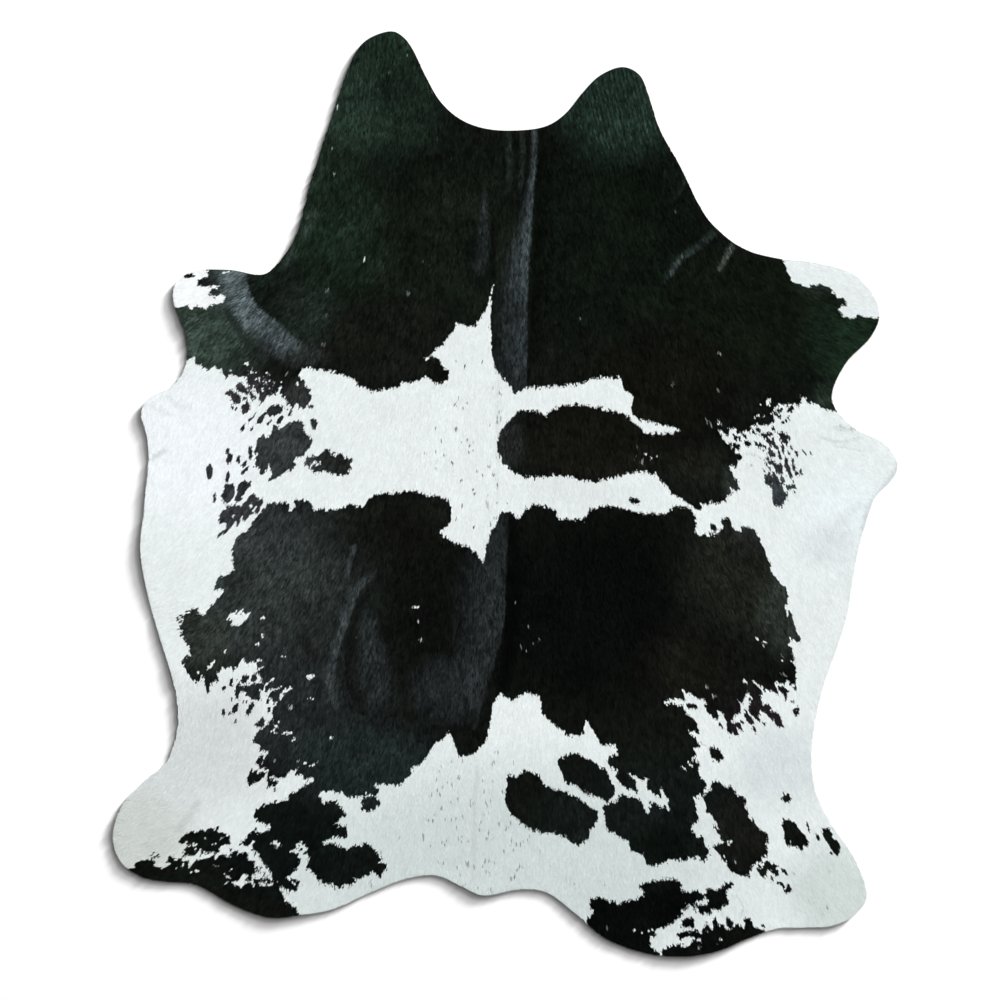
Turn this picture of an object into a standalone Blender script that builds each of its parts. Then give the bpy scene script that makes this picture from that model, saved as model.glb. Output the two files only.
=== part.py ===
"""Cowhide rug: one whole hide with its hair on, laid flat on the floor.

Metres, +Z up. +Y runs from the tail to the head, +X to the right as the hide is seen from above, and the
origin is on the floor under the middle of the hide. The outline and the folds are laid out on a grid whose
unit is worked out from the hide's real length: u grows to the right, and v grows from the ears to the rump.
"""

from typing import NamedTuple

import bpy
import numpy as np
from mathutils import Vector
from mathutils.geometry import delaunay_2d_cdt, interpolate_bezier

# Driving dimensions, in metres.
HIDE_LENGTH = 2.13  # left ear tip to the lowest point of the rump
HIDE_THICKNESS = 0.004  # tanned skin and the hair that lies flat on it
END_LIFT = 0.0005  # the hide's ends stand this far off the floor, beyond the spots that it rests on

# How finely the sheet is divided, in metres.
EDGE_STEP = 0.016  # along the cut edge
RIM_INSET = 0.030  # a row of points follows the edge at this distance
FIELD_STEP = 0.050  # between the points of the flat field
CREST_STEP = 0.026  # between the points along a fold's crest
EDGE_MARGIN = 0.020  # no inner point is closer to the edge
FOLD_SPACING = 0.017  # fold points closer than this to one that is kept are dropped
RIM_SPACING = 0.026  # the same for the row along the edge
FIELD_SPACING = 0.035  # and for the flat field
RIM_STRIDE = 2  # the row along the edge takes one point in this many

FOLD_ROWS = (0.0, -0.5, 0.5, -1.0, 1.0)  # rows of points across a fold, in half widths
CREST_SAMPLES = 24  # points that stand for a crest when distances are measured
BEZIER_SAMPLES = 12  # points for each span of the outline before it is stepped evenly
HANDLE_SHARE = 1.0 / 6.0  # a span's handle is this share of the chord between its neighbours
HEX_ROW = 3.0 ** 0.5 / 2.0  # height of a row of equal triangles
FILL_INSIDE = 1  # the triangulation keeps only what lies inside the cut edge
MERGE_WITHIN = 1e-6  # points closer than this are one

COAT_COLOUR = (0.62, 0.63, 0.62, 1.0)
COAT_ROUGHNESS = 0.55


class Stretch(NamedTuple):
    """One named run of the cut edge: its (u, v) points, clockwise as seen from above."""

    name: str
    points: tuple


class Fold(NamedTuple):
    """A soft ridge whose crest runs from start through middle to end on the layout grid."""

    name: str
    start: tuple
    middle: tuple
    end: tuple
    half_width: float
    height: float


class Swell(NamedTuple):
    """A low round rise in the sheet, with its two radii in metres."""

    name: str
    centre: tuple
    radius_x: float
    radius_y: float
    height: float


class Curl(NamedTuple):
    """A stretch of the cut edge that lifts off the floor, and how far it reaches along and in from the edge."""

    name: str
    centre: tuple
    reach: float
    width: float
    height: float


class Spot(NamedTuple):
    """A place where the hide bears on the floor."""

    name: str
    place: tuple


OUTLINE = (
    Stretch("left_ear", ((388, 31.5), (402, 36), (413, 50), (425, 75), (440, 101))),
    Stretch("poll", ((460, 119), (485, 128.5), (515, 130.5), (545, 126.5), (566, 113))),
    Stretch("right_ear", ((585, 90), (600, 75.5), (622, 67), (640, 75.5), (649, 97))),
    Stretch("right_neck", ((660, 130), (680, 166), (700, 207), (717, 229), (744, 249), (778, 258.5))),
    Stretch("right_foreleg", ((815, 263), (850, 273), (871, 293), (879, 316), (869, 339), (848, 360))),
    Stretch("right_armpit", ((833, 388), (834, 408), (856, 430), (883, 443), (897, 463))),
    Stretch("right_flank", ((892, 479), (875, 496.5), (866, 520), (858, 550), (851, 588), (847, 615))),
    Stretch("right_thigh", ((836, 650), (822, 690), (813, 733), (811, 765), (816, 794))),
    Stretch("right_hind_leg", ((830, 822), (853, 857), (866, 892), (858, 911), (835, 924.5), (805, 927))),
    Stretch("rump", ((777, 928), (750, 937), (716, 951), (682, 956), (645, 952.5), (606, 938), (577, 914))),
    Stretch("tail", ((548, 892.5), (520, 889), (484, 895), (462, 886), (436, 875), (405, 878.5))),
    Stretch("left_rump", ((370, 892), (333, 908.5), (300, 914.5), (270, 917), (236, 906), (198, 885))),
    Stretch("left_hind_leg", ((168, 881), (142, 876.5), (120, 860), (113.5, 834), (124, 803.5))),
    Stretch("left_thigh", ((149, 778), (169, 759), (178.5, 723), (174.5, 684), (161, 640))),
    Stretch("left_flank", ((148, 594), (141, 550), (145, 508), (149.5, 457))),
    Stretch("left_armpit", ((146.5, 432), (141.5, 415), (149, 399), (173, 386), (187, 363))),
    Stretch("left_foreleg", ((185, 333), (174, 302), (177, 283), (196, 271), (230, 270), (263, 274.5))),
    Stretch("left_neck", ((283, 257.5), (299, 229), (312, 180), (330, 123), (348, 70), (363, 43))),
)

FOLDS = (
    Fold("neck_ridge", (536, 140), (531, 230), (520, 384), 0.045, 0.010),
    Fold("mane_pleat", (487, 196), (483, 248), (488, 306), 0.022, 0.004),
    Fold("left_shoulder_fold", (226, 286), (260, 334), (322, 388), 0.052, 0.014),
    Fold("left_neck_fold", (318, 206), (303, 238), (282, 272), 0.032, 0.006),
    Fold("right_shoulder_pleat", (746, 256), (730, 268), (712, 292), 0.022, 0.005),
    Fold("right_neck_pleat", (704, 232), (686, 262), (662, 296), 0.026, 0.005),
    Fold("croup_ridge", (506, 522), (498, 610), (484, 716), 0.050, 0.009),
    Fold("haunch_ring", (356, 540), (326, 628), (356, 726), 0.030, 0.007),
    Fold("tail_pleat", (446, 690), (466, 702), (474, 736), 0.026, 0.004),
    Fold("left_belly_pleat", (146, 412), (168, 402), (198, 404), 0.020, 0.004),
    Fold("right_belly_pleat", (872, 494), (842, 522), (812, 572), 0.034, 0.007),
    Fold("right_armpit_pleat", (818, 428), (846, 437), (878, 450), 0.020, 0.004),
    Fold("left_leg_fold", (136, 850), (180, 826), (236, 806), 0.045, 0.007),
    Fold("right_leg_fold", (772, 862), (806, 880), (842, 912), 0.045, 0.007),
)

SWELLS = (
    Swell("left_haunch", (402, 642), 0.125, 0.190, 0.008),
    Swell("right_haunch", (712, 620), 0.200, 0.240, 0.006),
    Swell("right_neck_swell", (618, 210), 0.130, 0.200, 0.006),
    Swell("left_neck_swell", (402, 200), 0.120, 0.210, 0.006),
    Swell("right_rump_swell", (660, 862), 0.160, 0.120, 0.006),
    Swell("left_rump_swell", (300, 850), 0.150, 0.110, 0.006),
)

CURLS = (
    Curl("left_ear_edge", (352, 60), 0.14, 0.050, 0.005),
    Curl("right_ear_edge", (622, 67), 0.12, 0.045, 0.005),
    Curl("left_foreleg_edge", (176, 312), 0.15, 0.055, 0.007),
    Curl("left_armpit_edge", (142, 414), 0.11, 0.050, 0.006),
    Curl("left_flank_edge", (142, 545), 0.22, 0.060, 0.007),
    Curl("left_thigh_edge", (177, 706), 0.14, 0.055, 0.005),
    Curl("left_hind_leg_edge", (117, 850), 0.17, 0.065, 0.008),
    Curl("left_rump_edge", (286, 916), 0.19, 0.060, 0.007),
    Curl("tail_edge", (482, 895), 0.15, 0.055, 0.006),
    Curl("right_rump_edge", (684, 956), 0.20, 0.065, 0.008),
    Curl("right_hind_leg_edge", (862, 905), 0.14, 0.060, 0.006),
    Curl("right_flank_edge", (890, 482), 0.13, 0.050, 0.006),
    Curl("right_foreleg_edge", (874, 330), 0.12, 0.050, 0.006),
)

# The flat field bears on the floor at these, clockwise as seen from above. Everything inside their outline may
# touch it too.
SPOTS = (
    Spot("left_ear_spot", (392, 62)),
    Spot("right_ear_spot", (618, 94)),
    Spot("right_foreleg_spot", (842, 302)),
    Spot("right_hind_leg_spot", (828, 871)),
    Spot("rump_spot", (598, 908)),
    Spot("left_hind_leg_spot", (163, 812)),
    Spot("left_foreleg_spot", (205, 302)),
)


def smooth_loop(points):
    """Return a closed curve through the points, as an array of closely spaced ones."""
    count = len(points)
    samples = []
    for index in range(count):
        before, start, end, after = (Vector((*points[(index + k) % count], 0.0)) for k in (-1, 0, 1, 2))
        start_handle = start + (end - before) * HANDLE_SHARE
        end_handle = end - (after - start) * HANDLE_SHARE
        samples.extend(interpolate_bezier(start, start_handle, end_handle, end, BEZIER_SAMPLES)[:-1])
    return np.array([(p.x, p.y) for p in samples])


def stepped(loop, step):
    """Return points at an even spacing of about step round a closed loop."""
    closed = np.vstack((loop, loop[:1]))
    run = np.concatenate(([0.0], np.cumsum(np.linalg.norm(np.diff(closed, axis=0), axis=1))))
    stops = np.linspace(0.0, run[-1], round(run[-1] / step), endpoint=False)
    return np.column_stack((np.interp(stops, run, closed[:, 0]), np.interp(stops, run, closed[:, 1])))


class Layout:
    """Turns layout grid positions into metres, from the outline's own extent and the hide's real length."""

    def __init__(self):
        loop = smooth_loop([point for stretch in OUTLINE for point in stretch.points])
        self.unit = HIDE_LENGTH / (loop[:, 1].max() - loop[:, 1].min())
        edge = stepped(loop, EDGE_STEP / self.unit)
        self.centre = (edge.min(axis=0) + edge.max(axis=0)) / 2.0
        self.curve = self.metres(loop)
        self.edge = self.metres(edge)

    def metres(self, places):
        """Return (x, y) in metres for an array of (u, v)."""
        return (np.asarray(places, dtype=float) - self.centre) * self.unit * (1.0, -1.0)


def crest_points(layout, fold):
    """Return points along a fold's crest, a quadratic curve through its three places."""
    start, middle, end = (layout.metres(place) for place in (fold.start, fold.middle, fold.end))
    bend = 2.0 * middle - (start + end) / 2.0
    t = np.linspace(0.0, 1.0, CREST_SAMPLES)[:, None]
    return start * (1 - t) ** 2 + bend * 2 * t * (1 - t) + end * t ** 2


def bump(ratio):
    """Return a soft bell that is 1 at ratio 0 and level with the floor from ratio 1 on."""
    return np.clip(1.0 - ratio ** 2, 0.0, 1.0) ** 2


def fold_rise(layout, fold, places):
    """Return how far a fold lifts each place, fading out towards both ends of its crest."""
    crest = crest_points(layout, fold)
    gaps = np.linalg.norm(places[:, None, :] - crest[None, :, :], axis=2)
    nearest = gaps.argmin(axis=1)
    along = nearest / (CREST_SAMPLES - 1)
    ends = 1.0 - np.abs(2.0 * along - 1.0) ** 3
    return fold.height * ends * bump(gaps.min(axis=1) / fold.half_width)


def swell_rise(layout, swell, places):
    """Return how far a swell lifts each place."""
    offset = (places - layout.metres(swell.centre)) / (swell.radius_x, swell.radius_y)
    return swell.height * bump(np.linalg.norm(offset, axis=1))


def curl_rise(layout, curl, places, inset):
    """Return how far a curled stretch of the edge lifts each place, given its distance to the edge."""
    away = np.linalg.norm(places - layout.metres(curl.centre), axis=1)
    return curl.height * bump(away / curl.reach) * bump(inset / curl.width)


def end_rise(layout, places):
    """Return how far each place is lifted for lying beyond the outline of the resting spots."""
    corners = layout.metres([spot.place for spot in SPOTS])
    sides = np.roll(corners, -1, axis=0) - corners
    outward = np.column_stack((-sides[:, 1], sides[:, 0])) / np.linalg.norm(sides, axis=1)[:, None]
    beyond = ((places[:, None, :] - corners[None, :, :]) * outward[None, :, :]).sum(axis=2).max(axis=1)
    return np.where(beyond > MERGE_WITHIN, END_LIFT, 0.0)


def rise(layout, places):
    """Return the height of the sheet's underside over the floor at each place."""
    places = np.asarray(places, dtype=float)
    inset = np.linalg.norm(places[:, None, :] - layout.curve[None, :, :], axis=2).min(axis=1)
    total = end_rise(layout, places) + sum(fold_rise(layout, fold, places) for fold in FOLDS)
    total += sum(swell_rise(layout, swell, places) for swell in SWELLS)
    return total + sum(curl_rise(layout, curl, places, inset) for curl in CURLS)


def fold_rows(layout):
    """Return rows of points along each fold, so that its crest and feet are well shaped."""
    rows = []
    for fold in FOLDS:
        crest = crest_points(layout, fold)
        direction = np.gradient(crest, axis=0)
        across = np.column_stack((-direction[:, 1], direction[:, 0]))
        across /= np.linalg.norm(across, axis=1)[:, None]
        length = np.linalg.norm(np.diff(crest, axis=0), axis=1).sum()
        picks = np.linspace(0, CREST_SAMPLES - 1, max(3, round(length / CREST_STEP) + 1)).round().astype(int)
        rows.extend(crest[picks] + across[picks] * fold.half_width * row for row in FOLD_ROWS)
    return np.vstack(rows)


def rim_row(edge):
    """Return points that follow the cut edge at a small inset."""
    direction = np.roll(edge, -1, axis=0) - np.roll(edge, 1, axis=0)
    inward = np.column_stack((direction[:, 1], -direction[:, 0]))
    inward /= np.linalg.norm(inward, axis=1)[:, None]
    return (edge + inward * RIM_INSET)[::RIM_STRIDE]


def field_rows(edge):
    """Return the staggered points of the flat field over the hide's box."""
    low = edge.min(axis=0)
    high = edge.max(axis=0)
    points = []
    for row, y in enumerate(np.arange(low[1], high[1], FIELD_STEP * HEX_ROW)):
        shift = FIELD_STEP / 2.0 * (row % 2)
        points.extend((x, y) for x in np.arange(low[0] + shift, high[0], FIELD_STEP))
    return np.array(points)


def kept_apart(edge, groups):
    """Return the points of all groups that keep their distance from the edge and from those kept before."""
    kept = np.empty((0, 2))
    for spacing, group in groups:
        for point in group:
            if np.linalg.norm(edge - point, axis=1).min() < EDGE_MARGIN:
                continue
            if len(kept) and np.linalg.norm(kept - point, axis=1).min() < spacing:
                continue
            kept = np.vstack((kept, point))
    return kept


def hide_sheet(layout):
    """Return the vertices and triangles of the sheet's underside."""
    edge = layout.edge
    groups = (
        (FOLD_SPACING, layout.metres([spot.place for spot in SPOTS])),
        (FOLD_SPACING, fold_rows(layout)),
        (RIM_SPACING, rim_row(edge)),
        (FIELD_SPACING, field_rows(edge)),
    )
    places = np.vstack((edge, kept_apart(edge, groups)))
    rim = [(index, (index + 1) % len(edge)) for index in range(len(edge))]
    vertices, _, faces, *_ = delaunay_2d_cdt([Vector(p) for p in places], rim, [], FILL_INSIDE, MERGE_WITHIN)
    flat = np.array([tuple(v) for v in vertices])
    heights = rise(layout, flat)
    used = sorted({index for face in faces for index in face})
    order = {index: place for place, index in enumerate(used)}
    corners = [(float(flat[i, 0]), float(flat[i, 1]), float(heights[i])) for i in used]
    return corners, [tuple(order[i] for i in face) for face in faces]


def coat_material():
    """Return the hide's plain material."""
    material = bpy.data.materials.new("hair_on_hide")
    material.use_nodes = True
    shader = material.node_tree.nodes["Principled BSDF"]
    shader.inputs["Base Color"].default_value = COAT_COLOUR
    shader.inputs["Roughness"].default_value = COAT_ROUGHNESS
    return material


def build_hide(collection):
    """Make the hide: the folded sheet, given its thickness upwards from the floor."""
    corners, faces = hide_sheet(Layout())
    mesh = bpy.data.meshes.new("hide")
    mesh.from_pydata(corners, [], faces)
    mesh.materials.append(coat_material())
    mesh.shade_smooth()
    hide = bpy.data.objects.new("hide", mesh)
    collection.objects.link(hide)
    solidify = hide.modifiers.new("thickness", "SOLIDIFY")
    solidify.thickness = HIDE_THICKNESS
    solidify.offset = 1.0
    solidify.use_even_offset = True
    return hide


def clear_scene():
    """Remove what a new file starts with."""
    for thing in list(bpy.data.objects):
        bpy.data.objects.remove(thing)


def main():
    """Build the rug in a collection of its own."""
    clear_scene()
    collection = bpy.data.collections.new("cowhide_rug")
    bpy.context.scene.collection.children.link(collection)
    build_hide(collection)


main()
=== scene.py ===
"""Cowhide rug: the finished look of the skin and its short coat, with the light, the floor and the camera.

Metres, +Z up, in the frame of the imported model. The coat's markings, folds and hair directions are laid out
on a chart seen from above: u grows to the hide's right, v grows from its ears to its rump, and Chart turns
both into metres from the hide's real length.
"""

from __future__ import annotations

import logging
import math
from collections.abc import Iterator
from dataclasses import dataclass
from enum import Enum

import bmesh
import bpy
import numpy as np
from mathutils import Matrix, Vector
from mathutils.bvhtree import BVHTree
from mathutils.geometry import delaunay_2d_cdt
from mathutils.kdtree import KDTree

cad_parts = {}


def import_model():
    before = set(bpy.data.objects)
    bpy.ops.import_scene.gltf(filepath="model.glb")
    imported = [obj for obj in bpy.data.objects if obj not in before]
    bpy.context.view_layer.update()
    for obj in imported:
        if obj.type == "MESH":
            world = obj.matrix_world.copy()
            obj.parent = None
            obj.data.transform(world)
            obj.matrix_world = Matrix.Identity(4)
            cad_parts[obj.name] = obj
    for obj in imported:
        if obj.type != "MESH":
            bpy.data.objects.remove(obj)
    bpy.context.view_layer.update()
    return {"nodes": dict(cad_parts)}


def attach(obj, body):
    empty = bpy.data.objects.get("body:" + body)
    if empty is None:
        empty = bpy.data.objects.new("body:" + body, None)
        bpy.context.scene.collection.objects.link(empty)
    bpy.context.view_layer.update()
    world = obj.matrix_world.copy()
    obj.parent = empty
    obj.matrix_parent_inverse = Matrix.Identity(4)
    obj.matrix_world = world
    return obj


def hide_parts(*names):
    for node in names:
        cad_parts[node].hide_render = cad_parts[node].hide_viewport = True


log = logging.getLogger("rug")

Pair = tuple[float, float]
Triple = tuple[float, float, float]
Quad = tuple[float, float, float, float]

HIDE_NODE = "hide"
HIDE_LENGTH = 2.13  # metres, ear tip to rump
CHART_LENGTH = 924.5  # the same length on the chart
CHART_CENTRE = (505.25, 493.75)
SKIN_FLAT = (1.806, 2.131)
UV_MAP = "OFBake"
MAP_MARGIN = 0.01  # bare edge of a texture map
MAP_SPAN = 1.0 - 2.0 * MAP_MARGIN
MIX_FIRST, MIX_SECOND, MIX_COLOUR = 6, 7, 2  # a colour mix node's inputs and output
RANDOM_VECTOR, RANDOM_NUMBER = (0, 1), (2, 3)  # a random value node's inputs for the lowest and the highest
RANDOM_NUMBER_OUT = 1  # its output for a number


class Tone(Enum):
    """The two pigments of the coat."""

    WHITE = 0.0
    BLACK = 1.0


# --------------------------------------------------------------------------------------------- chart tables


@dataclass(frozen=True)
class Patch:
    """One area of a single pigment, with u and v of its corners in turn. Later patches cover earlier."""

    name: str
    tone: Tone
    outline: tuple[float, ...]

    def corners(self) -> np.ndarray:
        """Return the outline's corners, one row each."""
        return np.array(self.outline, dtype=float).reshape(-1, 2)


@dataclass(frozen=True)
class Dab:
    """A small spot: its centre, length and width, and its heading in degrees: 0 right, 90 down."""

    tone: Tone
    u: float
    v: float
    long: float
    wide: float
    heading: float
    strength: float = 1.0


def dabs(tone: Tone, rows: tuple[tuple[float, ...], ...]) -> tuple[Dab, ...]:
    """Return spots of one pigment from rows of u, v, long, wide, heading and, where faint, strength."""
    return tuple(Dab(tone, *row) for row in rows)


@dataclass(frozen=True)
class Scatter:
    """A zone, given as an ellipse, where small flecks of one pigment lie at random along the hair."""

    name: str
    tone: Tone
    centre: Pair
    radii: Pair
    count: int
    long: Pair
    wide: Pair
    strength: float = 1.0


@dataclass(frozen=True)
class Arrow:
    """The hair's direction at one place of the chart."""

    u: float
    v: float
    du: float
    dv: float


@dataclass(frozen=True)
class Tint:
    """A soft zone where one pigment's colour leans towards another: a tone of the hair, painted sheen or
    painted shade.
    """

    name: str
    centre: Pair
    radii: Pair
    colour: Triple
    strength: float = 1.0


@dataclass(frozen=True)
class Band:
    """A band of painted sheen or painted shade, such as the sheen on a fold's lit side or the shade in a
    crease. A few are grey lines in white hair.

    Its path runs down the chart. Each place of it is (u, v, left, right), the last two for how far the band
    fades out to either side.
    """

    name: str
    colour: Triple
    strength: float
    path: tuple[Quad, ...]


@dataclass(frozen=True)
class Comb:
    """A zone where the hair parts into fine even streaks of painted sheen and shade, turned by some degrees
    from straight down.
    """

    name: str
    centre: Pair
    radii: Pair
    degrees: float
    spacing: float
    strength: float


@dataclass(frozen=True)
class Crease:
    """A fine fold of the skin along a curve: a ridge, or a trough where its height is below 0."""

    name: str
    start: Pair
    middle: Pair
    end: Pair
    half_width: float  # metres, as the height is
    height: float


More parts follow.
